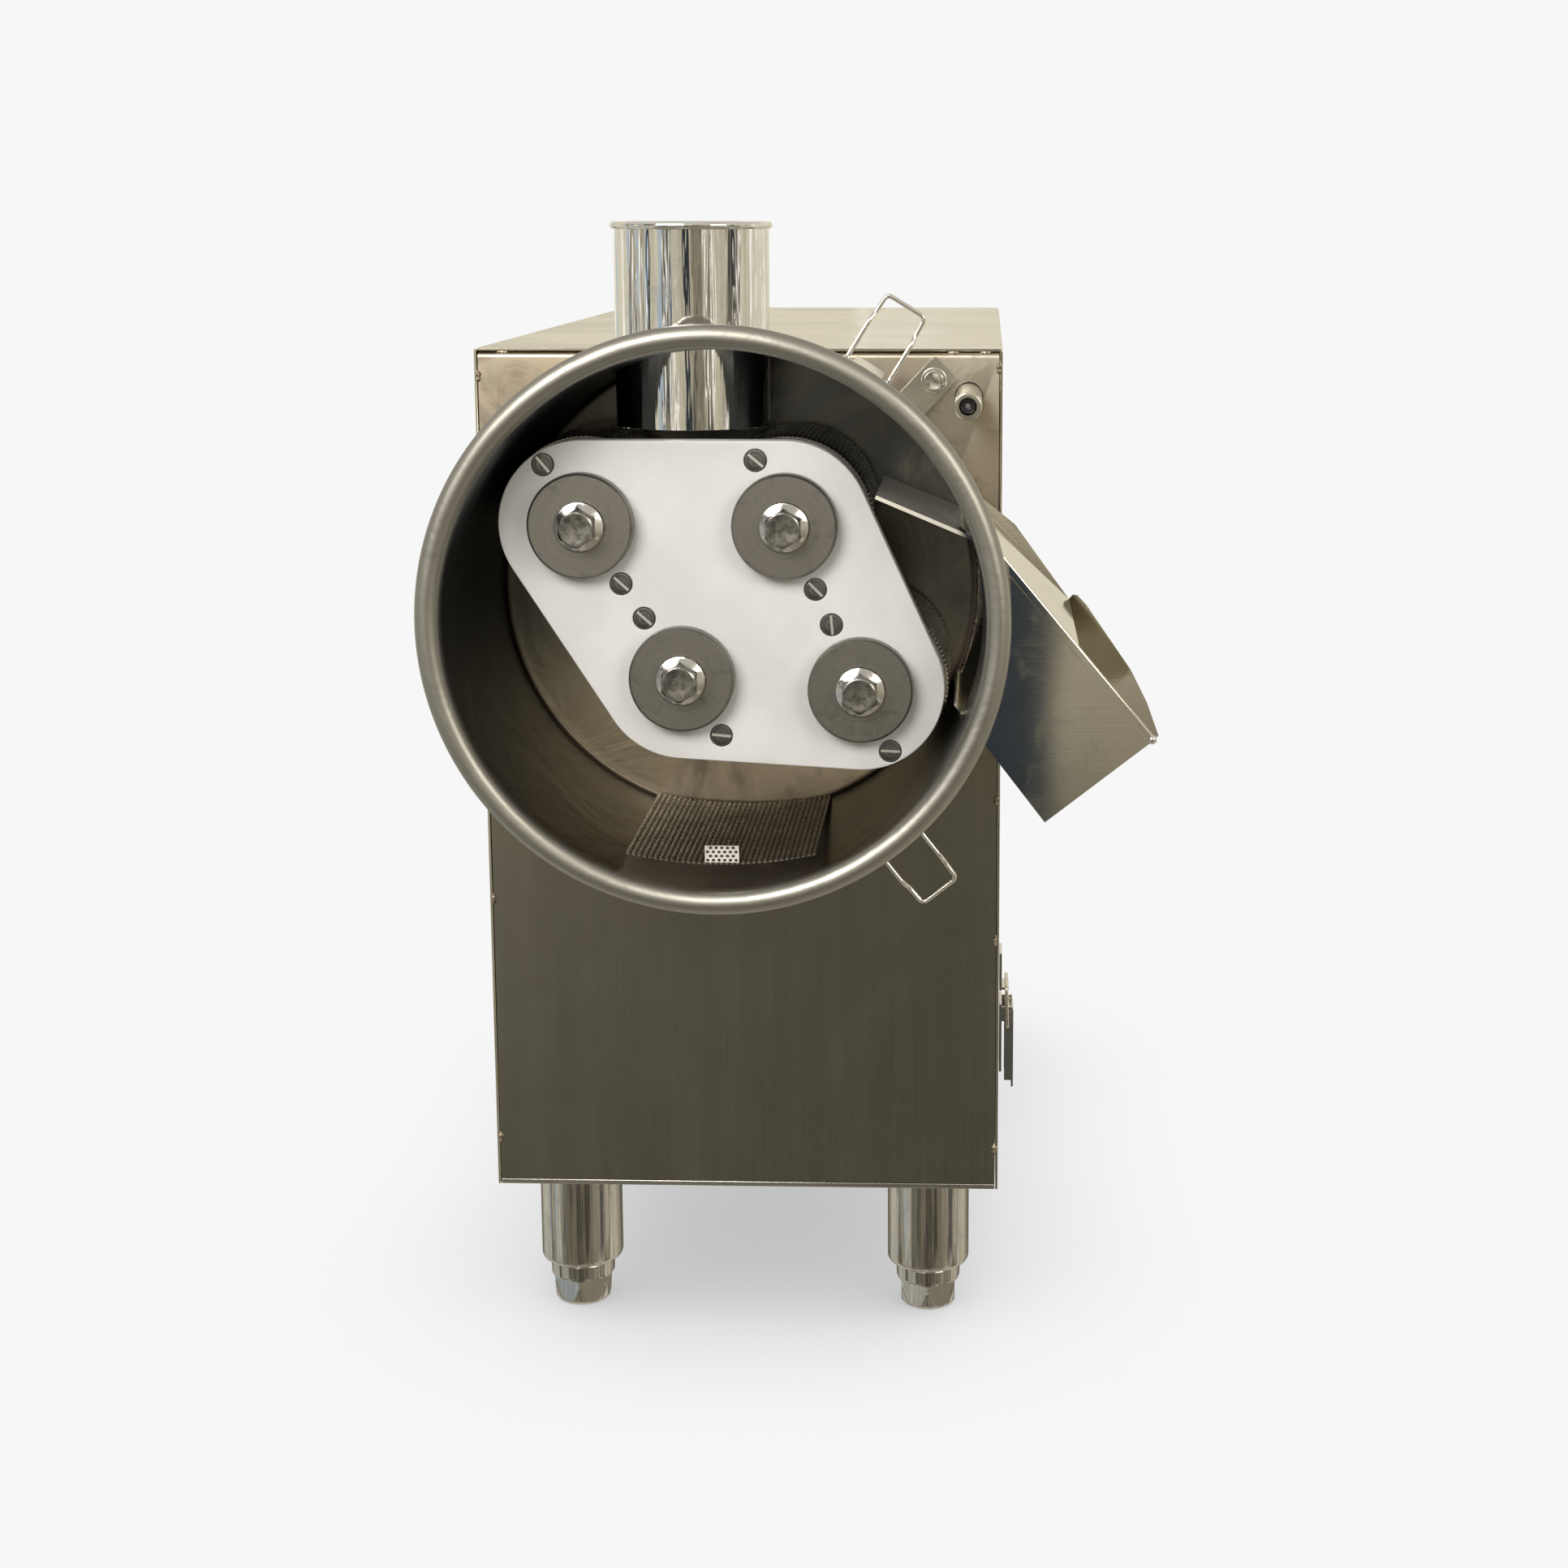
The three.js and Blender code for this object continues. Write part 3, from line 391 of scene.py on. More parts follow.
def panel_steel():
    """Brushed sheet with painted shade darkening it downwards, a painted reflection patch at the
    upper right, and straw heat tint round the drum's seat.
    """
    f = Finish("panel_steel", Metallic=1.0)
    place = f.place((0, 0, AXIS_Z))
    x, _, z = f.split(place)
    brush = f.stretched(place, 2.4, 0.010, "z")
    band = f.stretched(place, 0.06, 0.004, "z")
    radius = (x * x + z * z).maths("SQRT")
    cloud = f.noise(place, 0.011, 4.0, 0.6, 0.6)
    heat = radius.near(DRUM_SEAT, 60) * cloud.rise(0.34, 0.62)
    # Painted shade: the sheet's colour darkens from the top downwards.
    high = z.rise(-150, 120)
    steel = f.mix(high, (0.235, 0.225, 0.19), (0.345, 0.315, 0.26))
    steel = f.mix(band.rise(0.35, 0.7) * 0.20, steel, (0.36, 0.34, 0.29))
    # Painted reflection: a pale beige patch at the upper right of the panel.
    painted_reflection_patch = x.rise(95, 125) * z.rise(40, 100)
    steel = f.mix(painted_reflection_patch * 0.5, steel, (0.66, 0.62, 0.52))
    steel = f.mix(heat * (0.20 + high * 0.45), steel, (0.36, 0.28, 0.19))
    stain = f.noise(place, 0.026, 5.0, 0.7, 0.9).rise(0.52, 0.68) * high
    steel = f.mix(stain * 0.65, steel, (0.19, 0.155, 0.12))
    cells = f.node("TexVoronoi", {"feature": "F1"}, {"Vector": place, "Scale": 0.017})
    speck = 1 - cells.rise(0.006, 0.012)
    steel = f.mix(speck * 0.8, steel, (0.80, 0.78, 0.72))
    rough = 0.30 + (brush - 0.5) * 0.16 + cloud.rise(0.4, 0.8) * 0.06
    swell = f.noise(place, 0.006, 1.0, 0.4)
    return f.feed(steel, rough, brush * 0.016 + swell * 2.0, 1.0)


def grid_faces(rows, columns, around, closed):
    """Quads over a grid of points. around joins the last column to the first, closed the rows."""
    i = np.arange(rows if closed else rows - 1)[:, None]
    j = np.arange(columns if around else columns - 1)[None, :]
    i2, j2 = (i + 1) % rows, (j + 1) % columns
    quads = [a * columns + b for a, b in ((i, j), (i, j2), (i2, j2), (i2, j))]
    return np.stack([np.broadcast_to(q, (len(i), j.shape[1])) for q in quads], -1).reshape(-1, 4)


def grid_uv(rows, columns, around, closed, lengths):
    """Corner coordinates for grid_faces: u once round, v the length along the profile, in mm."""
    i = np.arange(rows if closed else rows - 1)[:, None]
    j = np.arange(columns if around else columns - 1)[None, :]
    u = np.stack([j, j + 1, j + 1, j], -1) / (columns if around else columns - 1)
    v = np.stack([lengths[i], lengths[i], lengths[i + 1], lengths[i + 1]], -1)
    shape = (len(i), j.shape[1], 4)
    return np.stack([np.broadcast_to(u, shape), np.broadcast_to(v, shape)], -1).reshape(-1, 2)


def mesh_of(name, points, faces, uv=None, angle=32):
    """A closed mesh from points in millimetres, with its doubles merged and faces outwards."""
    mesh = bpy.data.meshes.new(name)
    mesh.from_pydata(at(np.reshape(points, (-1, 3))).tolist(), [], np.asarray(faces).tolist())
    if uv is not None:
        layer = mesh.uv_layers.new(name="turned")
        layer.data.foreach_set("uv", np.asarray(uv, np.float32).ravel())
    work = bmesh.new()
    work.from_mesh(mesh)
    bmesh.ops.remove_doubles(work, verts=work.verts, dist=2e-7)
    bmesh.ops.recalc_face_normals(work, faces=work.faces)
    work.to_mesh(mesh)
    work.free()
    smoothed(mesh, angle)
    return mesh


def tube_mesh(name, path, radius, up, sides=12):
    """A round wire: at each point of the path, a circle square to it, closed at both ends.
    The circle stands on two directions, one square to the path and to `up`, one to both."""
    path = np.asarray(path, float)
    along = np.gradient(path, axis=0)
    along /= np.linalg.norm(along, axis=1, keepdims=True)
    side = np.cross(along, np.asarray(up, float))
    side /= np.linalg.norm(side, axis=1, keepdims=True)
    lift = np.cross(side, along)
    turn = np.linspace(0, 2 * np.pi, sides, endpoint=False)
    wide = np.broadcast_to(np.asarray(radius, float), (len(path),))
    ends = np.concatenate([[0.0], wide, [0.0]])[:, None, None]
    rows = np.arange(-1, len(path) + 1).clip(0, len(path) - 1)
    circle = side[rows, None] * np.cos(turn)[:, None] + lift[rows, None] * np.sin(turn)[:, None]
    points = path[rows, None] + circle * ends
    return mesh_of(name, points, grid_faces(len(rows), sides, True, False))


def weld_bead(name, path, radius, up):
    """A run of weld: a wire whose thickness ripples every 2.2 radii and tapers at its ends."""
    path = np.asarray(path, float)
    run = np.concatenate([[0], np.linalg.norm(np.diff(path, axis=0), axis=1).cumsum()])
    ripple = 1 + 0.16 * np.sin(2 * np.pi * run / (2.2 * radius))
    taper = np.sqrt(np.clip(np.minimum(run, run[-1] - run) / (1.2 * radius), 0.05, 1))
    mesh = tube_mesh(name, path, radius * ripple * taper, up, 10)
    shown(name, mesh, weld_metal, "cabinet")


def scorched_steel():
    """Weld metal: grey, blotched with straw and blue-brown scale."""
    f = Finish("weld_metal", Metallic=1.0)
    place = f.place()
    blotch = f.noise(place, 0.35, 4.0, 0.7)
    stops = [(0.35, (0.10, 0.08, 0.07)), (0.5, (0.34, 0.27, 0.19)), (0.65, (0.55, 0.52, 0.47))]
    colour = f.node("ValToRGB", {"stops": stops}, {"Fac": blotch})
    return f.feed(colour, 0.35 + blotch * 0.2, f.noise(place, 1.2, 3.0), 0.15)


front_low, front_high = span("front_panel")
softened("front_panel", panel_steel(), 0.3)
weld_metal = scorched_steel()
TACK, TOP_TACK = 1.7, 1.3  # radius of a tack weld down the sides, and along the top
side_x = front_high[0] - 0.2
tacks = [(side_x, z) for z in (front_low[2] + 22, 245, 330, 425, front_high[2] - 9)]
tacks += [(-side_x, z) for z in (front_low[2] + 26, 268, front_high[2] - 14)]
for count, (x, z) in enumerate(tacks):
    line = np.linspace(-3.6, 3.6, 15)[:, None] * (0, 0, 1) + (x, front_low[1] + 0.5, z)
    weld_bead(f"edge_tack_{count}", line, TACK, (1, 0, 0))
for count, x in enumerate((front_low[0] + 14, front_high[0] - 26, front_high[0] - 8)):
    spot = (x, front_low[1] + 1.4, front_high[2] - 0.4)
    line = np.linspace(-3.2, 3.2, 15)[:, None] * (1, 0, 0) + spot
    weld_bead(f"top_tack_{count}", line, TOP_TACK, (0, 0, 1))

# ---- Base, rear cover, switch and cable gland ---------------------------------------------
# A 3 mm base carries the legs and the drive. The rear cover is a sheet with cooling slots,
# held by pan-head screws, with a moulded mains switch and a nylon gland for the supply cable.

cover_steel = sheet_steel("cover_steel", (0.56, 0.54, 0.49), (0.47, 0.45, 0.41), 0.28, "z", 0.3)
softened("base_plate", cover_steel)
softened("rear_cover", cover_steel)


def moulded(name, colour, roughness):
    """Moulded plastic: an even colour, slightly mottled, with a fine eroded grain."""
    f = Finish(name, Metallic=0.0)
    place = f.place()
    cloud = f.noise(place, 0.02, 2.0)
    grit = f.noise(place, 2.5, 2.0)
    lighter = tuple(min(1.0, c * 1.5 + 0.004) for c in colour)
    rough = roughness + (cloud - 0.5) * 0.15
    return f.feed(f.mix(cloud.rise(0.3, 0.8) * 0.5, colour, lighter), rough, grit * 0.02, 1.0)


def circled(centre, r, level, t, axis="y"):
    """Points on circles round an axis: the centre plus radius times (cosine, sine) of the turn
    t, square to the axis, and the level along it."""
    first, second = centre[0] + r * np.cos(t), centre[1] + r * np.sin(t)
    level = np.broadcast_to(level, first.shape)
    return np.stack((first, level, second) if axis == "y" else (first, second, level), -1)


def turned(name, profile, centre, axis="y", segments=72):
    """A profile of [radius, place along the axis] points carried once round the axis."""
    profile = np.asarray(profile, float)
    closed = profile[0, 0] > 0 and np.allclose(profile[0], profile[-1])
    loop = profile[:-1] if closed else profile
    t = np.linspace(0, 2 * np.pi, segments, endpoint=False)
    points = circled(centre, loop[:, :1], loop[:, 1:], t, axis)
    steps = np.linalg.norm(np.diff(profile, axis=0), axis=1)
    lengths = np.concatenate([[0], steps.cumsum()])
    faces = grid_faces(len(loop), segments, True, closed)
    uv = grid_uv(len(loop), segments, True, closed, lengths)
    return mesh_of(name, points, faces, uv)


def rounded(corners, radius, steps=4):
    """An open profile whose inner corners are replaced by arcs of the given radius."""
    corners = np.asarray(corners, float)
    out = [corners[:1]]
    for before, corner, after in zip(corners, corners[1:], corners[2:]):
        a, b = before - corner, after - corner
        reach = min(radius, 0.45 * np.linalg.norm(a), 0.45 * np.linalg.norm(b))
        p, q = corner + a / np.linalg.norm(a) * reach, corner + b / np.linalg.norm(b) * reach
        t = np.linspace(0, 1, steps + 1)[:, None]
        out.append((1 - t) ** 2 * p + 2 * t * (1 - t) * corner + t**2 * q)
    return np.concatenate([*out, corners[-1:]])


black_plastic = moulded("black_plastic", (0.014, 0.014, 0.015), 0.42)
softened("switch_box", black_plastic, 1.6, 3)
softened("switch_rocker", moulded("rocker_plastic", (0.020, 0.020, 0.021), 0.22), 0.8, 3)
gland_low, gland_high = span("cable_gland")
gland_middle = (gland_low + gland_high) / 2
back = gland_high[1]
gland_profile = rounded(
    [(4.5, back - 26), (7.5, back - 26), (7.5, back - 17.1), (11, back - 17.1), (11, back - 11),
     (9, back - 9), (8, back), (4.5, back), (4.5, back - 26)], 0.6)
gland = turned("cable_gland_body", gland_profile, (gland_middle[0], gland_middle[2]), "y", 48)
shown("cable_gland_body", gland, black_plastic, "cabinet", ("cable_gland",))

SCREW_HEAD = 4.2  # radius of a cover screw's pan head
bright_screw = sheet_steel("bright_screw", (0.72, 0.70, 0.66), (0.62, 0.60, 0.56), 0.18, "y", 0.0)
cover_low, cover_high = span("rear_cover")
for count, (x, z) in enumerate((x, z) for x in (-1, 1) for z in (0.06, 0.5, 0.94)):
    screw_x = x * (cover_high[0] - 12)
    screw_z = cover_low[2] + z * (cover_high[2] - cover_low[2])
    face = cover_high[1] + 0.05
    head = rounded([(0, face), (SCREW_HEAD, face), (SCREW_HEAD, face + 0.9),
                    (3.0, face + 2.2), (0, face + 2.6)], 0.7)
    mesh = turned(f"cover_screw_{count}", head, (screw_x, screw_z), "y", 32)
    shown(f"cover_screw_{count}", mesh, bright_screw, "cabinet")

# ---- Drive: bearing plate, gears, gearbox, belt and motor ----------------------------------
# Inside the cabinet, cast and machined: they keep the shapes they are made with, in cast iron,
# oiled steel, blue-grey enamel and rubber.


def cast(name, colour, roughness, grain, metal, depth=0.25):
    """A cast or coated surface: pebbled grain, cloudy colour and uneven gloss."""
    f = Finish(name, Metallic=metal)
    place = f.place()
    pebble = f.noise(place, grain, 4.0, 0.6)
    cloud = f.noise(place, 0.03, 3.0)
    darker = tuple(c * 0.6 for c in colour)
    rough = roughness + (pebble - 0.5) * 0.2
    return f.feed(f.mix(cloud.rise(0.3, 0.7), darker, colour), rough, pebble * depth, 1.0)


iron = cast("cast_iron", (0.13, 0.13, 0.135), 0.55, 0.7, 0.6)
oiled = cast("oiled_gear_steel", (0.34, 0.33, 0.31), 0.28, 0.4, 1.0, 0.03)
enamel = cast("machine_enamel", (0.055, 0.085, 0.125), 0.38, 0.5, 0.0, 0.08)
belting = cast("belt_rubber", (0.014, 0.014, 0.014), 0.75, 0.9, 0.0, 0.1)
kept = {"drive_plate": iron, "gearbox_pulley": iron, "motor_pulley": iron, "drive_belt": belting}
kept |= {"gearbox": enamel, "motor": enamel, "interlock_switch": black_plastic}
kept |= {f"roller_gear_{k}": oiled for k in "abcd"}
for node, material in kept.items():
    frame["nodes"][node].data.materials.clear()
    frame["nodes"][node].data.materials.append(material)

# ---- Drum ---------------------------------------------------------------------------------
# The pressing chamber: a ring rolled from 1.5 mm sheet with its front edge rolled into a bead,
# welded to a round back. It is spun smooth inside, with scorch marks left by the weld.

drum_front = drum_low.y / MM - DATUM[1] / MM
BEAD = 6.3  # radius of the rolled edge
DRUM_OUTER = (drum_high.x - drum_low.x) / 2 / MM  # radius over the bead
DRUM_WALL = 1.5  # thickness of the sheet
DRUM_TAPER = 6.6  # how much narrower the drum is at its back than at its mouth, in radius
drum_mouth = DRUM_OUTER - 2 * BEAD - 0.4
bead_centre = (DRUM_OUTER - BEAD, drum_front + BEAD)
axle = {j["name"]: np.array(j["pos_m"]) / MM - DATUM / MM for j in frame["joints"]}
roller_axes = {k: axle[f"roller_{k}_spin"][[0, 2]] for k in "abcd"}


def drum_inner(y):
    """The drum's inner radius at a depth y: it widens evenly from its back to its bead."""
    return y * (DRUM_TAPER / bead_centre[1]) + (drum_mouth - DRUM_TAPER)


def spun_steel():
    """Steel worked round the drum's axis: rings of fine lines, painted shade on the inside wall,
    painted light and shade on the back disc, and scorch at the weld.
    """
    f = Finish("spun_steel", Metallic=1.0)
    place = f.place((0, 0, AXIS_Z))
    x, y, z = f.split(place)
    radius = (x * x + z * z).maths("SQRT")
    rings = f.noise(f.joined(radius * 2.2, y * 2.2, x * 0.02), 1.0, 3.0, 0.65)
    bands = f.noise(f.joined(radius * 0.16, y * 0.16, z * 0.004), 1.0, 2.0)
    cloud = f.noise(place, 0.016, 4.0, 0.62, 0.7)
    past = radius - drum_inner(y)
    inside = 1 - past.rise(0.3, 1.2)
    disc = inside * y.rise(-4.5, -2.2)
    steel = f.mix(cloud.rise(0.35, 0.65), (0.43, 0.41, 0.37), (0.56, 0.53, 0.47))
    wall = inside * (1 - disc)
    # Painted shade: the inside wall is darkened, warm grey low down and blue-black at the top.
    painted_wall_shade = f.mix(z.rise(-110, 10), (0.205, 0.195, 0.17), (0.070, 0.083, 0.095))
    steel = f.mix(wall * 0.95, steel, painted_wall_shade)
    low = (z * -1).rise(85, 130) * wall
    steel = f.mix(low * cloud.rise(0.30, 0.6) * 0.5, steel, (0.27, 0.21, 0.14))
    # Painted light and shade on the back disc: warm gold low down, dark at the top.
    painted_disc_shading = f.mix(z.rise(-95, 10), (0.56, 0.485, 0.365), (0.095, 0.10, 0.10))
    painted_disc_shading = f.mix(cloud.rise(0.42, 0.62) * 0.6, painted_disc_shading, (0.20, 0.175, 0.14))
    steel = f.mix(disc * 0.95, steel, painted_disc_shading)
    rim = past.rise(0.1, 0.4) * (y * -1).rise(137, 140)
    steel = f.mix(rim * 0.9, steel, (0.31, 0.295, 0.26))
    seam = radius.near(drum_inner(0) - 0.4, 3.6) * y.rise(-6, -2)
    steel = f.mix(seam * 0.8, steel, (0.09, 0.07, 0.055))
    spot = f.noise(place, 0.05, 4.0, 0.65, 0.2)
    scorch = disc * (z * -1).rise(88, 118) * x.rise(0, 50) * spot.rise(0.50, 0.70)
    steel = f.mix(scorch * 0.6, steel, (0.13, 0.09, 0.06))
    juice = (y * -1).rise(4, 20) * (z * -1).rise(95, 128) * spot.rise(0.46, 0.62) * inside
    steel = f.mix(juice * 0.5, steel, (0.24, 0.17, 0.10))
    rough = 0.31 + (rings - 0.5) * 0.10 + (bands - 0.5) * 0.05 + seam * 0.2 + rim * 0.12
    return f.feed(steel, rough, rings * 0.006 + cloud * 1.0, 1.0)


def arc(centre, radius, start, end, steps):
    """Points round a centre from one angle to another, in degrees."""
    t = np.radians(np.linspace(start, end, steps + 1))
    return np.stack([centre[0] + radius * np.cos(t), centre[1] + radius * np.sin(t)], -1)


def cut_away(made, cutters):
    """Takes the cutters' closed shapes out of a piece's mesh for good."""
    for mesh in cutters:
        knife = bpy.data.objects.new("knife", mesh)
        scene.collection.objects.link(knife)
        tool = made.modifiers.new("cut", "BOOLEAN")
        tool.operation, tool.solver, tool.object = "DIFFERENCE", "EXACT", knife
    ready = made.evaluated_get(bpy.context.evaluated_depsgraph_get())
    mesh = bpy.data.meshes.new_from_object(ready)
    for tool in list(made.modifiers):
        bpy.data.objects.remove(tool.object)
        made.modifiers.remove(tool)
    made.data = mesh
    smoothed(mesh)


def drum_profile():
    """From the axis over the back, out along the wall, round the bead and back inside."""
    along = np.linspace(-6, drum_front + 14, 12)
    back_face = [(r, 0) for r in (0, 40, 80, 110, drum_inner(0) + DRUM_WALL - 0.4)]
    outside = [(drum_inner(y) + DRUM_WALL, y) for y in (-0.4, *along)]
    bead = arc(bead_centre, BEAD, 150, -180, 40)
    inside = [(drum_inner(y), y) for y in along[::-1]]
    corner = arc((drum_inner(-4) - 2.4, -DRUM_WALL - 2.4), 2.4, 0, 90, 5)
    face = [(r, -DRUM_WALL) for r in (128, 110, 80, 40, 0)]
    return [*back_face, *outside, *bead, *inside, *corner, *face]


def centred(points):
    """An x, z outline measured from the drum's axis, in millimetres from the datum."""
    return np.asarray(points, float) + (0, AXIS_Z)


def prism(name, outline, y0, y1):
    """A closed outline in x and z given thickness from y0 to y1: two rings and their centres."""
    outline = np.asarray(outline, float)
    ring = np.stack([outline[:, 0], np.zeros(len(outline)), outline[:, 1]], -1)
    middle = np.broadcast_to(ring.mean(0), ring.shape)
    rows = [middle + (0, y0, 0), ring + (0, y0, 0), ring + (0, y1, 0), middle + (0, y1, 0)]
    return mesh_of(name, np.stack(rows), grid_faces(4, len(ring), True, False))


spun = spun_steel()
tube_low, tube_high = span("feed_tube")
TUBE_AT = ((tube_low + tube_high) / 2)[:2]
TUBE_R = (tube_high[0] - tube_low[0]) / 2 - 2  # inside the rolled rim
spout_low, spout_high = span("drain_spout")
SPOUT_AT = ((spout_low + spout_high) / 2)[:2]
SPOUT_R = (spout_high[0] - spout_low[0]) / 2
OPENING = np.radians([-24.3, 22.0])  # the chute's opening in the wall, round the drum's axis
mouth = [(r * np.cos(a), r * np.sin(a))
         for r, a in zip((125, 160, 160, 125), np.repeat(OPENING, 2))]
drum = shown("drum_ring", turned("drum_ring", drum_profile(), (0, AXIS_Z), "y", 240), spun,
             "cabinet", ("drum_wall", "drum_back"))
SHAFT_HOLE = 16
holes = [
    turned("hole", [(0, 520), (TUBE_R + 0.4, 520), (TUBE_R + 0.4, 640), (0, 640)],
           TUBE_AT, "z", 96),
    turned("hole", [(0, 300), (SPOUT_R + 0.4, 300), (SPOUT_R + 0.4, 335), (0, 335)],
           SPOUT_AT, "z", 48),
    prism("hole", centred(mouth), -108.5, -1.9),
]
holes += [turned("hole", [(0, -5), (SHAFT_HOLE, -5), (SHAFT_HOLE, 5), (0, 5)], c, "y", 48)
          for c in roller_axes.values()]
cut_away(drum, holes)

# ---- Drum lugs and their bolts ------------------------------------------------------------
# Three square steel tabs welded to the drum's back edge, each bolted to the front panel by a
# hexagon bolt on a plain washer.

LUG = {"angles": (46.3, 226.3, 313.7), "inner": 137.0, "outer": 171.3, "half": 9.4, "thick": 3}
LUG_BOLT = 161.0  # distance of the bolt from the drum's axis


def turned_steel(name, light, dark, roughness, lines=0.02, wear=0.3, banding=1.0):
    """Steel cut in a lathe: fine rings along the profile, from the piece's own coordinates."""
    f = Finish(name, Metallic=1.0)
    around = f.node("UVMap", {"uv_map": "turned"})
    u, v, _ = f.split(around)
    place = f.place()
    rings = f.noise(f.joined(v * 3.5, (u * 2 * math.pi).maths("SINE") * 0.5, 0), 1.0, 3.0, 0.7)
    broad = f.noise(f.joined(v * 0.6, (u * 2 * math.pi).maths("COSINE") * 0.4, 3), 1.0, 2.0)
    smear = f.noise(place, 0.09, 4.0, 0.65, 0.8)
    colour = f.mix(broad.rise(0.35, 0.65) * banding, light, dark)
    colour = f.mix(smear.rise(0.52, 0.7) * wear, colour, dark)
    ringed = (rings - 0.5) * (0.5 * roughness * banding)
    rough = roughness + ringed + smear.rise(0.5, 0.8) * 0.08
    return f.feed(colour, rough, rings * lines, 1.0)


def hex_bolt(name, seat, centre, flats, head, flange=None, flange_thick=0.0, shank=0.0):
    """A hexagon bolt lying along y. Each row's radius is the smaller of a round limit, which
    chamfers the corners, and the hexagon's own radius, half the flats over cosine of the angle."""
    columns = 96
    t = np.linspace(0, 2 * np.pi, columns, endpoint=False)
    hexagon = flats / 2 / np.cos((t + np.pi / 6) % (np.pi / 3) - np.pi / 6)
    corner = flats / math.sqrt(3)
    top = seat - head
    chamfer = 0.475 * flats  # the round edge of the head's flat face
    rows = [(0, top + 0.12), (0.36 * flats, top + 0.12), (0.39 * flats, top), (chamfer, top)]
    rows += [(chamfer + s * (corner - chamfer), top + s**1.2 * 0.085 * flats)
             for s in np.linspace(0.12, 1.0, 8)]
    if flange:
        rim = seat - flange_thick
        rows += [(corner, rim - 0.6), (corner * 1.01, rim)]
        limit = [(flange - 1.6, seat - 1.7), (flange - 0.5, seat - 1.2), (flange, seat - 0.6),
                 (flange, seat)]
    else:
        rows += [(corner, seat)]
        limit = []
    r = np.minimum(np.array(rows)[:, :1], hexagon)
    level = np.array(rows)[:, 1]
    if limit:
        r = np.concatenate([r, np.repeat(np.array(limit)[:, :1], columns, 1)])
        level = np.concatenate([level, np.array(limit)[:, 1]])
    under = [(shank, seat), (shank, seat + 28), (0, seat + 28)] if shank else [(0, seat)]
    r = np.concatenate([r, np.repeat(np.array(under)[:, :1], columns, 1)])
    level = np.concatenate([level, np.array(under)[:, 1]])[:, None]
    points = circled(centre, r, level, t)
    lengths = np.concatenate([[0], np.hypot(np.diff(r[:, 0]), np.diff(level[:, 0])).cumsum()])
    uv = grid_uv(len(r), columns, True, False, lengths)
    return mesh_of(name, points, grid_faces(len(r), columns, True, False), uv, 24)


lug_steel = sheet_steel("lug_steel", (0.66, 0.63, 0.56), (0.50, 0.47, 0.40), 0.24, "x", 0.0)
bolt_steel = turned_steel("bolt_steel", (0.80, 0.78, 0.73), (0.66, 0.63, 0.57), 0.15, 0.006, 0.35)
for count, angle in enumerate(LUG["angles"]):
    out = np.array([math.cos(math.radians(angle)), math.sin(math.radians(angle))])
    side = np.array([-out[1], out[0]])
    inner, outer, half = LUG["inner"], LUG["outer"], LUG["half"]
    shape = rounded([(inner, -half), (outer, -half), (outer, half), (inner, half)], 2.2, 6)
    tab = prism(f"drum_lug_{count}", centred(shape[:, :1] * out + shape[:, 1:] * side),
                -LUG["thick"], -0.05)
    eased(shown(f"drum_lug_{count}", tab, lug_steel, "cabinet"), 0.4, 2)
    bolt_at = centred(out * LUG_BOLT)
    seat = -LUG["thick"] - 0.02
    ring = rounded([(3.4, seat), (7.2, seat), (7.2, seat - 1.3), (3.4, seat - 1.3),
                    (3.4, seat)], 0.3)
    washer = turned(f"lug_washer_{count}", ring, bolt_at, "y", 48)
    shown(f"lug_washer_{count}", washer, bolt_steel, "cabinet")
    bolt = hex_bolt(f"lug_bolt_{count}", seat - 1.35, bolt_at, 11, 5.2)
    shown(f"lug_bolt_{count}", bolt, bolt_steel, "cabinet")
    line = np.linspace(-half, half, 25)[:, None] * side + out * (inner + 0.6)
    seam = np.stack([line[:, 0], np.full(25, -LUG["thick"] - 0.2), line[:, 1] + AXIS_Z], -1)
    weld_bead(f"lug_weld_{count}", seam, 1.5, (0, 1, 0))

# ---- Feed tube ----------------------------------------------------------------------------
# A mirror-polished tube 1.5 mm thick with its top rim rolled outwards, let into the drum and
# welded round where it enters.

TUBE_WALL = 1.5
RIM = 2.0  # radius of the rolled rim


def mirror_steel(name, tint, roughness, wave):
    """Polished steel: nearly clear reflections, long faint polishing marks, a few dull smears."""
    f = Finish(name, Metallic=1.0)
    place = f.place()
    lines = f.stretched(place, 0.9, 0.01, "z")
    smear = f.noise(place, 0.05, 4.0, 0.65, 1.0)
    streak = f.stretched(place, 0.10, 0.006, "z")
    dull = tuple(c * 0.84 for c in tint)
    colour = f.mix(smear.rise(0.45, 0.7) * 0.6, tint, dull)
    rough = roughness + smear.rise(0.52, 0.75) * 0.10 + (lines - 0.5) * 0.03
    return f.feed(colour, rough, streak * wave + lines * 0.006, 1.0)


tube_steel = mirror_steel("tube_steel", (0.80, 0.79, 0.76), 0.05, 0.5)
bottom, top = tube_low[2], tube_high[2]
rim_roll = arc((TUBE_R, top - RIM), RIM, -90, 90, 12)
tube_profile = [(TUBE_R - TUBE_WALL, bottom), (TUBE_R - 0.2, bottom), (TUBE_R, bottom + 0.3)]
tube_profile += [(TUBE_R, z) for z in np.linspace(bottom + 6, top - 2 * RIM - 1, 14)]
tube_profile += [*rim_roll, (TUBE_R - TUBE_WALL, top - 0.6), (TUBE_R - TUBE_WALL, bottom)]
tube_mesh_made = turned("feed_tube_polished", tube_profile, TUBE_AT, "z", 160)
shown("feed_tube_polished", tube_mesh_made, tube_steel, "cabinet", ("feed_tube",))


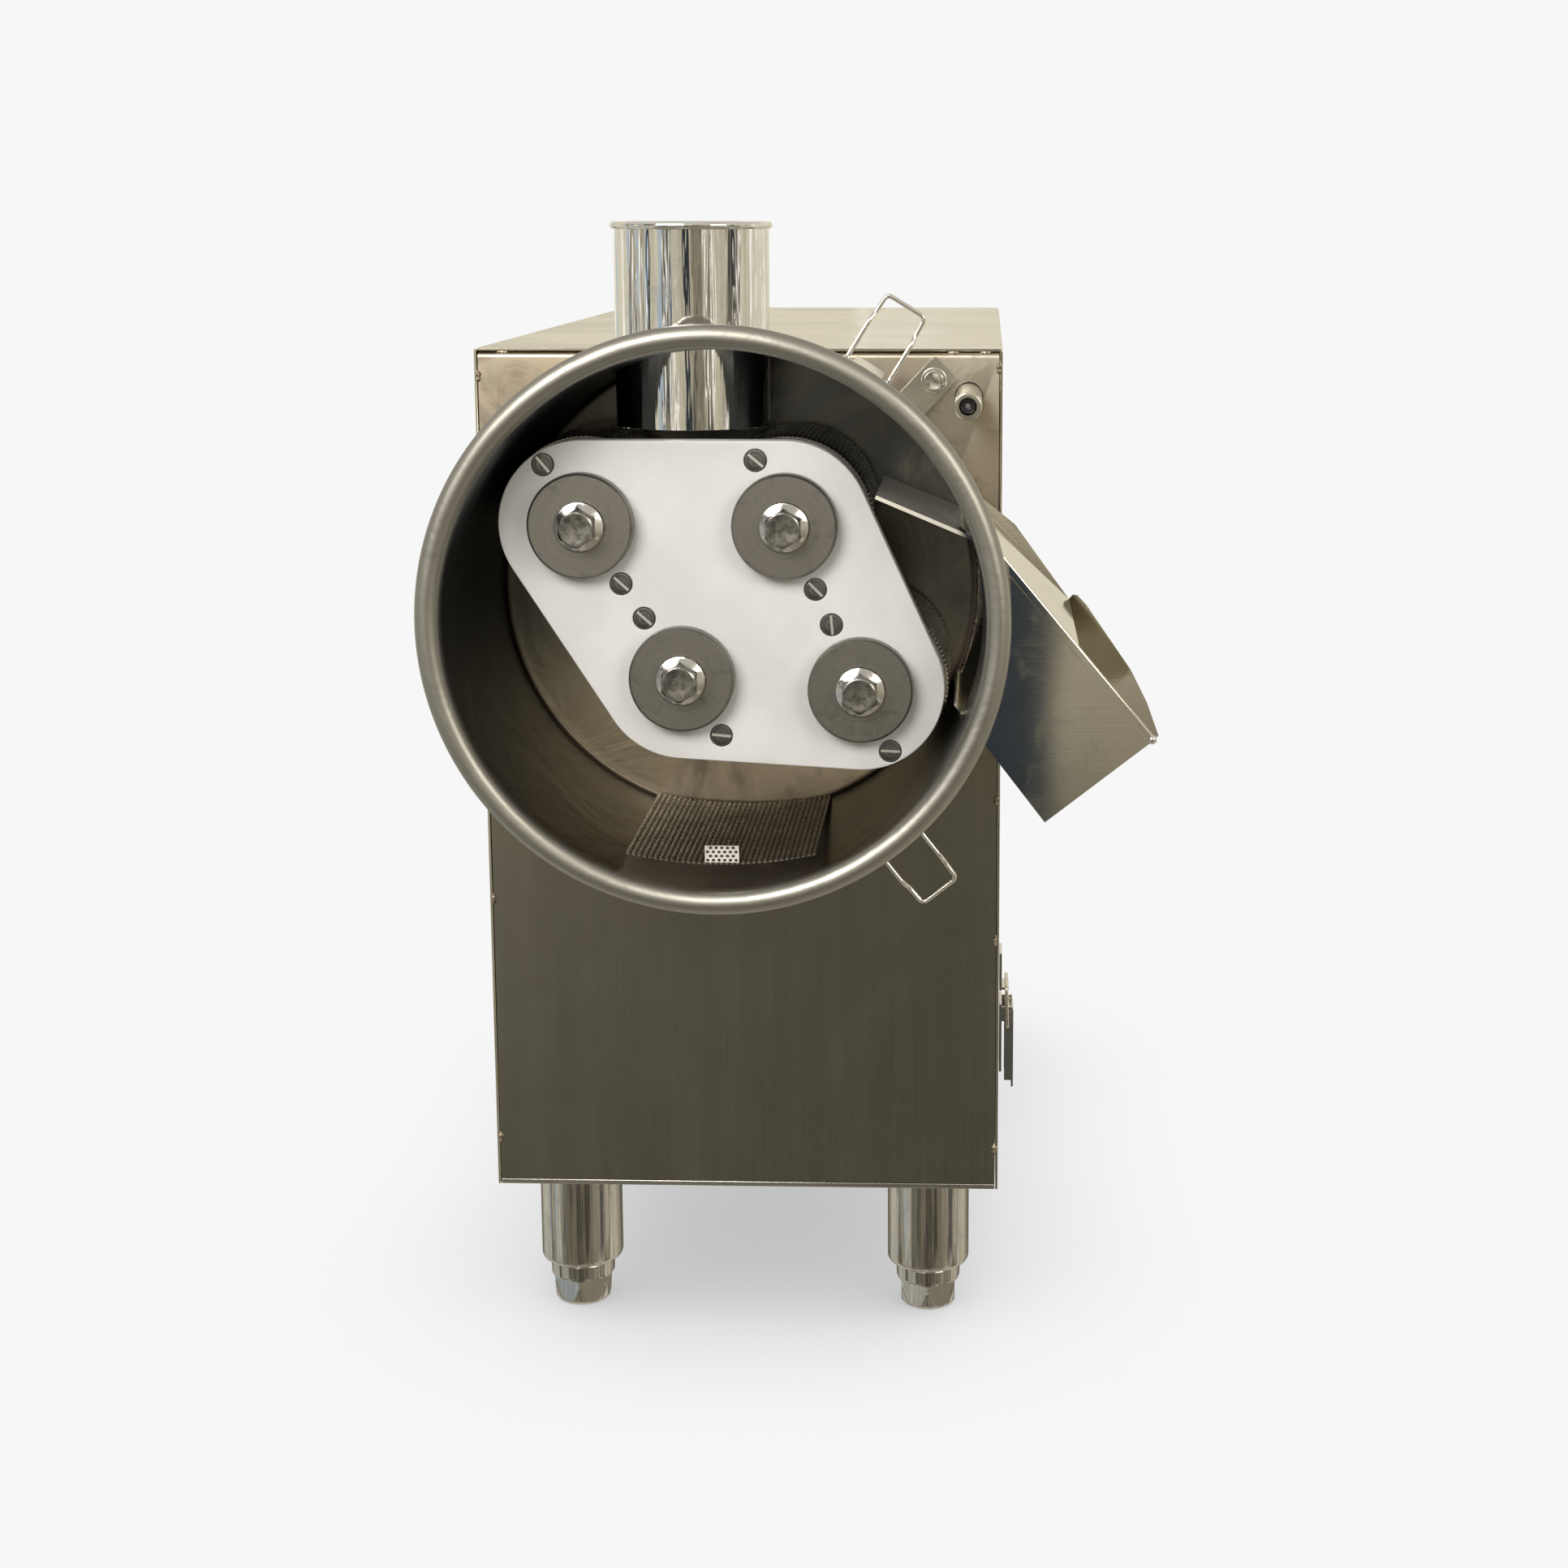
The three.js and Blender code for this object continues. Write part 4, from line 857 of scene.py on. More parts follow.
def pipe_weld(name, centre, radius, way, bead):
    """A weld where an upright pipe meets the drum: a circle just outside the pipe, each point
    moved up or down by `way` times the height at which the drum's own circle passes it."""
    t = np.linspace(0, 2 * np.pi, 181)
    ring = np.stack([np.cos(t), np.sin(t)], -1) * (radius + 0.5) + centre
    height = np.sqrt((drum_inner(ring[:, 1]) + DRUM_WALL + 0.2) ** 2 - ring[:, 0] ** 2)
    path = np.column_stack([ring, AXIS_Z + way * height])
    weld_bead(name, path, bead, (0, 0, 1))


pipe_weld("tube_weld", TUBE_AT, TUBE_R, 1, 1.5)

# ---- Discharge chute ----------------------------------------------------------------------
# A chute folded from polished sheet and welded to the drum's side: two walls, a sloping floor
# and a lid over its upper half, with a hem along the near wall's top edge.


def folded_steel():
    """Polished sheet with a few smears. Inside the drum's wall it is scoured dull and pale."""
    f = Finish("chute_steel", Metallic=1.0)
    place = f.place((0, 0, AXIS_Z))
    x, _, z = f.split(place)
    cloud = f.noise(place, 0.012, 3.0, 0.55)
    smear = f.noise(place, 0.045, 4.0, 0.65, 0.8)
    fine = f.stretched(place, 1.4, 0.012, "x")
    colour = f.mix(cloud.rise(0.35, 0.65), (0.72, 0.69, 0.61), (0.80, 0.775, 0.70))
    colour = f.mix(smear.rise(0.58, 0.75) * 0.35, colour, (0.56, 0.53, 0.46))
    scoured = 1 - (x * x + z * z).maths("SQRT").rise(132, 138)
    colour = f.mix(scoured, colour, (0.95, 0.91, 0.82))
    rough = scoured * 0.45 + fine * 0.02 + smear.rise(0.5, 0.8) * 0.06 + 0.045
    swell = f.noise(place, 0.0065, 1.0, 0.4)
    return f.feed(colour, rough, fine * 0.01 + swell * 1.1, 1.0)


chute_steel = folded_steel()
softened("discharge_chute", chute_steel, 0.35)
NEAR_WALL = -107.0  # the near wall's outer face
HEM_TOP, HEM_END = np.array([134.6, 50.0]), np.array([231.4, -66.3])  # x, z from the axis
HEM_WIDTH = 4.2
slope = (HEM_END - HEM_TOP) / np.linalg.norm(HEM_END - HEM_TOP)
down = np.array([slope[1], -slope[0]])
fold = np.stack([HEM_TOP, HEM_END, HEM_END + down * HEM_WIDTH, HEM_TOP + down * HEM_WIDTH])
hem = prism("chute_hem", centred(fold), NEAR_WALL - 1.3, NEAR_WALL - 0.03)
eased(shown("chute_hem", hem, chute_steel, "cabinet"), 0.6, 3)

# The hem ends in a small rolled knob: a short wire along y whose girth swells to a ball.
ball = np.linspace(NEAR_WALL - 2.2, NEAR_WALL + 2.4, 9)[:, None] * (0, 1, 0)
ball += (HEM_END[0] - 1.2, 0, HEM_END[1] + AXIS_Z - 1.0)
girth = 2.4 * np.sqrt(1 - np.linspace(-0.95, 0.95, 9) ** 2) + 0.15
shown("chute_tip", tube_mesh("chute_tip", ball, girth, (0, 0, 1), 20), bolt_steel, "cabinet")
for count, level in enumerate((NEAR_WALL - 0.2, -2.8)):
    bend = centred(arc((0, 0), drum_inner(level) + DRUM_WALL + 0.9, -22, 32, 60))
    seam = np.column_stack([bend[:, 0], np.full(len(bend), level), bend[:, 1]])
    weld_bead(f"chute_weld_{count}", seam, 1.6, (0, 1, 0))

# ---- Strainer and drain spout -------------------------------------------------------------
# The strainer is a gently bent sheet punched with 2 mm holes in staggered rows, with a punched
# tab to pull it out by. The spout under it is a plain tube welded to the drum.

strainer_low, strainer_high = span("strainer")
PITCH_HOLES = 2.9  # from one hole to the next along a row
HOLE = 0.95  # radius of a hole
STRAINER_BEND = 230.0  # radius the sheet is bent to
TAB_X, TAB_TOP, TAB_WIDE = 2.6, -119.4, 18.0  # the tab's middle, top edge and width


def punched(columns, rows, pitch, hole):
    """A flat punched sheet as brick-like cells, every second row moved half a pitch. A cell is
    a ring of eight quads between its own border and an eight-sided hole, on both faces, and
    the hole's wall joins them. The half cells at a moved row's ends are left whole.
    Gives points as (x, y, side) with side 0 or 1, and faces as corner points."""
    tall = pitch * math.sqrt(3) / 2
    rim = np.array([(-1, -1), (0, -1), (1, -1), (1, 0), (1, 1), (0, 1), (-1, 1), (-1, 0)]) / 2
    angle = np.arctan2(rim[:, 1], rim[:, 0])
    circle = np.stack([np.cos(angle), np.sin(angle)], -1) * hole
    border = rim * (pitch, tall)
    row = np.repeat(np.arange(rows), columns)
    column = np.tile(np.arange(columns), rows)
    odd = row % 2
    whole = ~((odd == 1) & (column == columns - 1))
    row, column, odd = row[whole], column[whole], odd[whole]
    centre = np.stack([(column + 0.5 + odd / 2) * pitch, (row + 0.5) * tall], -1)
    k, n = np.arange(8), (np.arange(8) + 1) % 8

    def corners(a, b, c, d):
        return np.stack([centre[:, None] + side for side in (a, b, c, d)], 2)

    ring_cells = corners(border[k], border[n], circle[n], circle[k]).reshape(-1, 4, 2)
    front = np.concatenate([ring_cells, np.zeros((len(ring_cells), 4, 1))], -1)
    back_side = np.concatenate([ring_cells[:, ::-1], np.ones((len(ring_cells), 4, 1))], -1)
    wall = corners(circle[k], circle[n], circle[n], circle[k]).reshape(-1, 4, 2)
    level = np.broadcast_to(np.array([0, 0, 1, 1.0])[None, :, None], (len(wall), 4, 1))
    walls = np.concatenate([wall, level], -1)
    odd_rows = np.arange(1, rows, 2)
    ends = [(0, 0.5), (columns - 0.5, columns)]
    half = [[(x0, r), (x1, r), (x1, r + 0.5), (x0, r + 0.5)] for r in odd_rows for x0, x1 in ends]
    half += [[(x0, r + 0.5), (x1, r + 0.5), (x1, r + 1), (x0, r + 1)]
             for r in odd_rows for x0, x1 in ends]
    flat = np.array(half, float) * (pitch, tall)
    halves = [np.concatenate([part, np.full((len(flat), 4, 1), s)], -1)
              for part, s in ((flat, 0.0), (flat[:, ::-1], 1.0))]
    wide, deep = columns * pitch, rows * tall
    across = np.arange(0, columns + 0.25, 0.5) * pitch
    along = np.arange(0, rows + 0.25, 0.5) * tall
    edge = [np.column_stack([across, np.zeros_like(across)]),
            np.column_stack([np.full_like(along, wide), along]),
            np.column_stack([across[::-1], np.full_like(across, deep)]),
            np.column_stack([np.zeros_like(along), along[::-1]])]
    rims = [np.stack([line[:-1], line[1:], line[1:], line[:-1]], 1) for line in edge]
    rims = np.concatenate(rims)
    rims = np.concatenate([rims, np.broadcast_to(level[:1] * 0 + [[0], [0], [1], [1.0]],
                                                 (len(rims), 4, 1))], -1)
    return np.concatenate([front, back_side, walls, *halves, rims]), wide, deep


def cornered(name, corners):
    """A mesh from faces that each bring their own corner points: equal points become one."""
    flat = corners.reshape(-1, 3)
    keys, index = np.unique(np.round(flat, 4), axis=0, return_inverse=True)
    return mesh_of(name, keys, index.reshape(-1, 4), angle=40)


def punched_steel(name, tint, roughness, furrows_and_painted_shade=0.0):
    """Punched sheet: rolling lines and juice stains, and furrows along its rows of holes, darkened
    with painted shade.
    """
    f = Finish(name, Metallic=1.0)
    place = f.place()
    lines = f.stretched(place, 1.6, 0.02, "y")
    stain = f.noise(place, 0.04, 4.0, 0.65)
    dark = tuple(c * 0.55 for c in tint)
    colour = f.mix(stain.rise(0.40, 0.65) * 0.8, tint, dark)
    x, _, _ = f.split(place)
    # Painted shade: dark stripes in the furrows along the rows of holes.
    rows = (x * (2 * math.pi / PITCH_HOLES)).maths("SINE").rise(-0.6, 0.6)
    colour = f.mix(rows * furrows_and_painted_shade, colour, tuple(c * 0.12 for c in tint))
    height = lines * 0.015 - rows * furrows_and_painted_shade * 0.25
    return f.feed(colour, roughness + (lines - 0.5) * 0.2, height, 1.0)


cells, wide, deep = punched(
    round((strainer_high[0] - strainer_low[0]) / PITCH_HOLES),
    2 * round((strainer_high[1] - strainer_low[1]) / PITCH_HOLES / math.sqrt(3)),
    PITCH_HOLES, HOLE)
fit_x = (strainer_high[0] - strainer_low[0] - 0.5) / wide
fit_y = (strainer_high[1] - strainer_low[1]) / deep
x = (cells[..., 0] - wide / 2) * fit_x
strainer_x = (strainer_low[0] + strainer_high[0]) / 2
lowest = strainer_low[2]
swing = x / STRAINER_BEND
lift = STRAINER_BEND - cells[..., 2] * 0.96 - 0.02
bent = np.stack([strainer_x + lift * np.sin(swing), strainer_low[1] + cells[..., 1] * fit_y,
                 lowest + STRAINER_BEND - lift * np.cos(swing)], -1)
strainer_steel = punched_steel("strainer_steel", (0.42, 0.375, 0.325), 0.32, 0.9)
shown("strainer_sheet", cornered("strainer_sheet", bent), strainer_steel, "strainer",
      ("strainer",))
TAB_ROWS, TAB_COLUMNS = 4, 6
tab_cells, wide, deep = punched(TAB_COLUMNS, TAB_ROWS, PITCH_HOLES, HOLE)
tab_top = AXIS_Z + TAB_TOP
tab_foot = lowest + 1.2
tab = np.stack([TAB_X + (tab_cells[..., 0] - wide / 2) * TAB_WIDE / wide,
                strainer_low[1] + 0.05 + tab_cells[..., 2] * 0.9,
                tab_foot + tab_cells[..., 1] * (tab_top - tab_foot) / deep], -1)
shown("strainer_tab", cornered("strainer_tab", tab),
      punched_steel("strainer_tab_steel", (0.97, 0.95, 0.90), 0.55), "strainer")

spout_steel = turned_steel("spout_steel", (0.64, 0.61, 0.55), (0.50, 0.47, 0.42), 0.22, 0.02)
inner = SPOUT_R - 2
spout_profile = rounded([(inner, spout_low[2]), (SPOUT_R, spout_low[2]), (SPOUT_R, spout_high[2]),
                         (inner, spout_high[2]), (inner, spout_low[2])], 0.5)
spout = turned("drain_spout_tube", spout_profile, SPOUT_AT, "z", 72)
shown("drain_spout_tube", spout, spout_steel, "cabinet", ("drain_spout",))
pipe_weld("spout_weld", SPOUT_AT, SPOUT_R, -1, 1.4)

# ---- Rollers ------------------------------------------------------------------------------
# Four solid steel rollers cut with fine flutes along their length, each turned down at both
# ends: in front to a journal that runs in the bearing plate, behind to its shaft.

ROLLER_R, FLUTES, FLUTE_DEPTH = 46.6, 112, 1.3
ROLLER_FRONT, ROLLER_BACK = -89.0, -6.0
JOURNAL_R, SHAFT_R = 12.4, 15.0
roller_steel = turned_steel("roller_steel", (0.46, 0.44, 0.41), (0.30, 0.285, 0.26), 0.26, 0.01)


def fluted(name, centre, back):
    """A roller: rows of circles whose radius dips FLUTES times a turn, by a depth that is full
    on the barrel, less on its chamfers and nothing on journal and shaft."""
    columns = FLUTES * 4
    t = np.linspace(0, 2 * np.pi, columns, endpoint=False)
    dip = np.tile([0.0, 0.75, 1.0, 0.25], FLUTES)
    rows = np.array([
        (0, -84.5, 0), (6.5, -84.5, 0), (6.5, -106.9, 0), (JOURNAL_R - 0.6, -106.9, 0),
        (JOURNAL_R, -106.3, 0), (JOURNAL_R, ROLLER_FRONT - 0.6, 0),
        (ROLLER_R - 2.4, ROLLER_FRONT, 0), (ROLLER_R - 1.2, ROLLER_FRONT, 0.3),
        (ROLLER_R, ROLLER_FRONT + 1.2, 1),
        (ROLLER_R, ROLLER_BACK - 1.2, 1), (ROLLER_R - 1.2, ROLLER_BACK, 0.3),
        (ROLLER_R - 2.4, ROLLER_BACK, 0), (SHAFT_R, ROLLER_BACK, 0), (SHAFT_R, back - 0.8, 0),
        (SHAFT_R - 0.8, back, 0), (0, back, 0)])
    r = rows[:, :1] - rows[:, 2:] * FLUTE_DEPTH * dip
    points = circled(centre, r, rows[:, 1:2], t)
    lengths = np.concatenate([[0], np.hypot(*np.diff(rows[:, :2], axis=0).T).cumsum()])
    uv = grid_uv(len(rows), columns, True, False, lengths)
    return mesh_of(name, points, grid_faces(len(rows), columns, True, False), uv, 24)


for key, centre in roller_axes.items():
    node_back = span(f"roller_{key}")[1][1]
    mesh = fluted(f"fluted_roller_{key}", centre, node_back)
    shown(f"fluted_roller_{key}", mesh, roller_steel, f"roller_{key}",
          (f"roller_{key}",))

# ---- Front bearing plate and its screws ---------------------------------------------------
# A 12 mm plate of white wear-resistant plastic with broad round corners. It carries the four
# journals and is held by eight slotted countersunk screws, each sunk just below its face.

plate_low, plate_high = span("front_bearing_plate")
PLATE_FRONT, PLATE_BACK = plate_low[1], plate_high[1]
PLATE_CORNER = plate_high[2] - max(axis[1] for axis in roller_axes.values()) - 0.2
SCREW_CIRCLE = 37.6  # distance of a screw from its roller's axis
SCREW_ANGLES = {"a": 122.5, "b": 114.5, "c": 122.5, "d": 114.5}
SLOTS = {"a": (130, 138), "b": (140, 135), "c": (138, 175), "d": (95, 178)}  # in degrees


def white_plastic():
    """Machined white plastic: softly lit through, a little yellow in places, fine saw marks."""
    f = Finish("white_plastic", Metallic=0.0, Subsurface_Weight=0.25,
               Subsurface_Radius=(0.004, 0.0035, 0.003), Subsurface_Scale=1.0, IOR=1.5)
    place = f.place((0, 0, AXIS_Z))
    cloud = f.noise(place, 0.022, 3.0, 0.55)
    mark = f.noise(place, 0.12, 5.0, 0.7)
    grit = f.noise(place, 3.0, 2.0)
    colour = f.mix(cloud.rise(0.35, 0.7), (0.545, 0.541, 0.538), (0.595, 0.587, 0.58))
    colour = f.mix(mark.rise(0.60, 0.80) * 0.25, colour, (0.55, 0.53, 0.49))
    return f.feed(colour, 0.42 + (cloud - 0.5) * 0.15, grit * 0.015 + cloud * 0.4, 1.0)


def stretched_round(circles, radius, steps):
    """The outline of a band stretched round equal circles, given in order: on each circle, the
    arc between the directions square to its two neighbouring straights."""
    circles = np.asarray(circles, float)
    gap = np.roll(circles, -1, axis=0) - circles
    out = np.degrees(np.arctan2(gap[:, 1], gap[:, 0])) - 90
    parts = []
    for centre, start, end in zip(circles, np.roll(out, 1), out):
        parts.append(arc(centre, radius, start, start + (end - start) % 360, steps))
    return np.concatenate(parts)


def edged_plate(name, outline, inset, front, back_y):
    """A plate between two planes, its edges rounded: the outline drawn in by the corner's own
    circle on the way from each face to the side, and closed at the middle of both faces."""
    middle = outline.mean(0)
    step = np.roll(outline, -1, axis=0) - np.roll(outline, 1, axis=0)
    normal = np.stack([step[:, 1], -step[:, 0]], -1) / np.linalg.norm(step, axis=1, keepdims=True)
    t = np.linspace(0, np.pi / 2, 5)
    rows = [(1 - np.sin(s), front + inset * (1 - np.cos(s))) for s in t]
    rows += [(1 - np.sin(s), back_y - inset * (1 - np.cos(s))) for s in t[::-1]]
    rings = [outline - normal * inset * away for away, _ in rows]
    levels = [level for _, level in rows]
    middles = np.broadcast_to(middle, outline.shape)
    rings, levels = [middles, *rings, middles], [levels[0], *levels, levels[-1]]
    points = np.stack([np.column_stack([ring[:, 0], np.full(len(ring), y), ring[:, 1]])
                       for ring, y in zip(rings, levels)])
    return mesh_of(name, points, grid_faces(len(rings), len(outline), True, False))


order = ("c", "d", "b", "a")
outline = stretched_round([roller_axes[k] for k in order], PLATE_CORNER, 40)
plate_mesh = edged_plate("bearing_plate", outline, 0.8, PLATE_FRONT, PLATE_BACK)
plate = shown("bearing_plate", plate_mesh, white_plastic(), "cabinet",
              ("front_bearing_plate",))
SCREW_R, SINK_R, SINK_DEEP = 5.75, 6.2, 3.4  # head, recess and its depth
cutters, screws = [], []
for key, centre in roller_axes.items():
    bore = [(0, PLATE_FRONT - 2), (JOURNAL_R + 0.4, PLATE_FRONT - 2),
            (JOURNAL_R + 0.4, PLATE_BACK + 2), (0, PLATE_BACK + 2)]
    cutters.append(turned("bore", bore, centre, "y", 64))
    for half in (0, 1):
        angle = math.radians(SCREW_ANGLES[key] + 180 * half)
        spot = centre + SCREW_CIRCLE * np.array([math.cos(angle), math.sin(angle)])
        sink = [(0, PLATE_FRONT - 1), (SINK_R + 0.5, PLATE_FRONT - 1),
                (SINK_R + 0.35, PLATE_FRONT - 0.01), (SINK_R, PLATE_FRONT + 0.3),
                (SINK_R, PLATE_FRONT + SINK_DEEP), (0, PLATE_FRONT + SINK_DEEP)]
        cutters.append(turned("sink", sink, spot, "y", 40))
        screws.append((f"{key}{half}", spot, math.radians(SLOTS[key][half])))
cut_away(plate, cutters)

screw_steel = turned_steel("screw_steel", (0.24, 0.235, 0.225), (0.10, 0.10, 0.10), 0.34, 0.01)
slot_steel = turned_steel("slot_steel", (0.95, 0.94, 0.91), (0.80, 0.79, 0.76), 0.35, 0.0)
SLOT_HALF, SLOT_DEEP = 0.75, 1.3
for label, spot, angle in screws:
    face = PLATE_FRONT + 0.35
    head = rounded([(0, face), (SCREW_R, face), (SCREW_R, face + 0.8), (3.0, PLATE_FRONT + 3.3),
                    (0, PLATE_FRONT + 3.3)], 0.35, 3)
    screw = shown(f"plate_screw_{label}", turned(f"plate_screw_{label}", head, spot, "y", 48),
                  screw_steel, "cabinet")
    run, square = (np.array([math.cos(angle), math.sin(angle)]),
                   np.array([-math.sin(angle), math.cos(angle)]))
    ends, floor_ends = ([spot + run * s * long + square * q * half
                         for s, q in ((-1, -1), (1, -1), (1, 1), (-1, 1))]
                        for long, half in ((8, SLOT_HALF), (SCREW_R - 0.6, SLOT_HALF - 0.05)))
    cut_away(screw, [prism("slot", ends, face - 1, face + SLOT_DEEP)])
    strip = prism(f"slot_floor_{label}", floor_ends, face + 0.5, face + SLOT_DEEP - 0.05)
    shown(f"slot_floor_{label}", strip, slot_steel, "cabinet")

# ---- End washers and bolts ----------------------------------------------------------------
# A thick turned washer on each journal, chamfered and matt from the lathe, is held by a bright
# M12 hexagon bolt with its own flange.

washer_light, washer_dark = (0.26, 0.245, 0.215), (0.16, 0.15, 0.135)
washer_steel = turned_steel("washer_steel", washer_light, washer_dark, 0.40, 0.004, 0.8, 0.2)


def flange_bolt_steel(edge):
    """Plated steel: the hexagon is blotched and painted darker as shade, and the flange behind
    `edge` is bright.
    """
    f = Finish("flange_bolt_steel", Metallic=1.0)
    place = f.place()
    _, y, _ = f.split(place)
    # Painted shade: the hexagon head, in front of `edge`, is given a darker colour than the flange.
    head = 1 - y.rise(edge - 0.8, edge)
    blotch = f.noise(place, 0.30, 4.0, 0.65)
    dull = f.mix(blotch.rise(0.35, 0.65), (0.20, 0.19, 0.175), (0.40, 0.385, 0.36))
    steel = f.mix(head, (0.58, 0.56, 0.52), dull)
    return f.feed(steel, head * 0.12 + blotch * 0.08 + 0.12, blotch * 0.12, 1.0)


washer_face = span("end_washer_a")[0][1]
flange_steel = flange_bolt_steel(washer_face - 0.4 - 3.4)
for key, centre in roller_axes.items():
    low, high = span(f"end_washer_{key}")
    bore, rim, face, rear = 6.5, 28.1, low[1], high[1]
    profile = [(bore, rear), (rim - 0.4, rear), (rim, rear - 0.4), (rim, face + 1.5),
               (rim - 0.25, face + 1.0), (rim - 1.3, face), (bore + 0.5, face),
               (bore, face + 0.5), (bore, rear)]
    washer = turned(f"turned_washer_{key}", profile, centre, "y", 128)
    shown(f"turned_washer_{key}", washer, washer_steel, f"roller_{key}",
          (f"end_washer_{key}",))
    bolt = hex_bolt(f"flange_bolt_{key}", face - 0.4, centre, 18, 11.5, 13.4, 3.0, 6.0)
    shown(f"flange_bolt_{key}", bolt, flange_steel, f"roller_{key}",
          (f"end_bolt_{key}",))

# ---- Cover interlock ----------------------------------------------------------------------
# A steel tube through the front panel guides a black plunger. The cover presses it back onto
# a switch inside the cabinet.

lock_low, lock_high = span("interlock_sleeve")
lock_at = ((lock_low + lock_high) / 2)[[0, 2]]
sleeve_outer, sleeve_bore = (lock_high[0] - lock_low[0]) / 2, 4.75
sleeve = rounded([(sleeve_bore, lock_low[1]), (sleeve_outer, lock_low[1]),
                  (sleeve_outer, lock_high[1]), (sleeve_bore, lock_high[1]),
                  (sleeve_bore, lock_low[1])], 0.7)
sleeve_steel = turned_steel("sleeve_steel", (0.74, 0.71, 0.63), (0.58, 0.55, 0.48), 0.17, 0.01)
mesh = turned("plunger_guide", sleeve, lock_at, "y", 72)
shown("plunger_guide", mesh, sleeve_steel, "cabinet", ("interlock_sleeve",))
pin_low, pin_high = span("interlock_plunger")
nose = pin_low[1]
pin = rounded([(0, nose + 0.8), (1.5, nose + 0.8), (1.6, nose + 0.05), (4.2, nose + 0.05),
               (4.2, pin_high[1]), (0, pin_high[1])], 0.5)
plunger_black = moulded("plunger_plastic", (0.010, 0.010, 0.011), 0.30)
shown("plunger_pin", turned("plunger_pin", pin, lock_at, "y", 48), plunger_black,
      "interlock_plunger", ("interlock_plunger",))
core = rounded([(0, nose + 0.75), (1.4, nose + 0.75), (1.4, nose + 2), (0, nose + 2)], 0.2)
core_steel = turned_steel("core_steel", (0.42, 0.42, 0.42), (0.30, 0.30, 0.30), 0.3, 0.01)
shown("plunger_core", turned("plunger_core", core, lock_at, "y", 32), core_steel,
      "interlock_plunger")

# ---- Cover latches ------------------------------------------------------------------------
# Three toggle latches stand round the drum: a base welded to the wall, a pressed lever on a
# pin, and a loop of bright 2.4 mm wire that hooks over the cover's rim.

latch_steel = sheet_steel("latch_steel", (0.80, 0.78, 0.73), (0.66, 0.64, 0.59), 0.14, "y", 0.0)
wire_steel = sheet_steel("wire_steel", (0.82, 0.80, 0.74), (0.70, 0.68, 0.62), 0.12, "z", 0.0)
# A latch's place is its angle round the drum, and its bail is folded back by the second angle.
LATCHES = {"upper": (58.5, 0), "lower": (-52.0, 0), "left": (180.0, 84)}
BAIL = {"wire": 1.2, "half": 12.5, "hook": 6.5}  # radius of the wire, half widths of the loop
BAIL_REACH = (24.5, 28.5, 40)  # from the pivot to the legs' kink, past it and to the crossbar


def bent_wire(points, radius):
    """A path through points whose corners are rounded, with the straights divided evenly."""
    path = rounded(points, radius, 6)
    spread = [path[:1]]
    for a, b in zip(path, path[1:]):
        parts = max(1, int(np.linalg.norm(b - a) // 3))
        spread.append(a + (b - a) * np.linspace(0, 1, parts + 1)[1:, None])
    return np.concatenate(spread)


for name, (angle, folded) in LATCHES.items():
    t, f = math.radians(angle), math.radians(folded)
    out = np.array([math.cos(t), 0, math.sin(t)])
    across = np.array([math.sin(t), 0, -math.cos(t)])
    rear = np.array([0, 1.0, 0])
    pivot = axle[f"latch_{name}_bail"]
    reach = out * math.cos(f) + rear * math.sin(f)
    lean = rear * math.cos(f) - out * math.sin(f)
    step, past, end = BAIL_REACH
    half, hook = BAIL["half"], BAIL["hook"]

    def leg(s):
        route = [(hook, 0, 0), (half, 0, 0), (half, 0, step), (half - 0.5, 2.4, past),
                 (half - 1, 2.4, end)]
        return [pivot + across * s * u + lean * v + reach * w for u, v, w in route]

    path = bent_wire([*leg(-1), *leg(1)[::-1]], 3.0)
    wire = tube_mesh(f"bail_wire_{name}", path, BAIL["wire"], lean, 14)
    shown(f"bail_wire_{name}", wire, wire_steel, f"latch_bail_{name}",
          (f"latch_bail_{name}",))
    softened(f"latch_base_{name}", latch_steel, 0.25)
    softened(f"latch_lever_{name}", latch_steel, 0.35, 3)

# ---- Side latch ---------------------------------------------------------------------------
# A long-lever toggle latch on the right-hand side holds the shell down to its base plate.

for node in ("side_latch_keeper", "side_latch_base", "side_latch_lever"):
    softened(node, latch_steel, 0.3, 3)
side_pivot = axle["side_latch_bail_swing"]
SIDE_BAIL = {"hook": 8.5, "half": 14.2, "rise": 25.2, "wire": 1.05, "lean": -0.8}


def side_leg(s):
    """One leg: in from the lever's hole, out to the side, then up to the crossbar."""
    up = np.array([SIDE_BAIL["lean"], s * SIDE_BAIL["half"], SIDE_BAIL["rise"]])
    return [side_pivot + (0, s * SIDE_BAIL["hook"], 0), side_pivot + (0, s * SIDE_BAIL["half"], 0),
            side_pivot + up]


path = bent_wire([*side_leg(-1), *side_leg(1)[::-1]], 2.5)
wire = tube_mesh("side_bail_wire", path, SIDE_BAIL["wire"], (1, 0, 0), 14)
shown("side_bail_wire", wire, wire_steel, "side_latch_bail", ("side_latch_bail",))

# ---- Legs ---------------------------------------------------------------------------------
# Each leg is a polished tube welded under the base, with a turned foot on a thread inside it.
# The foot narrows downwards and has six wrench flats cut into its lower half.

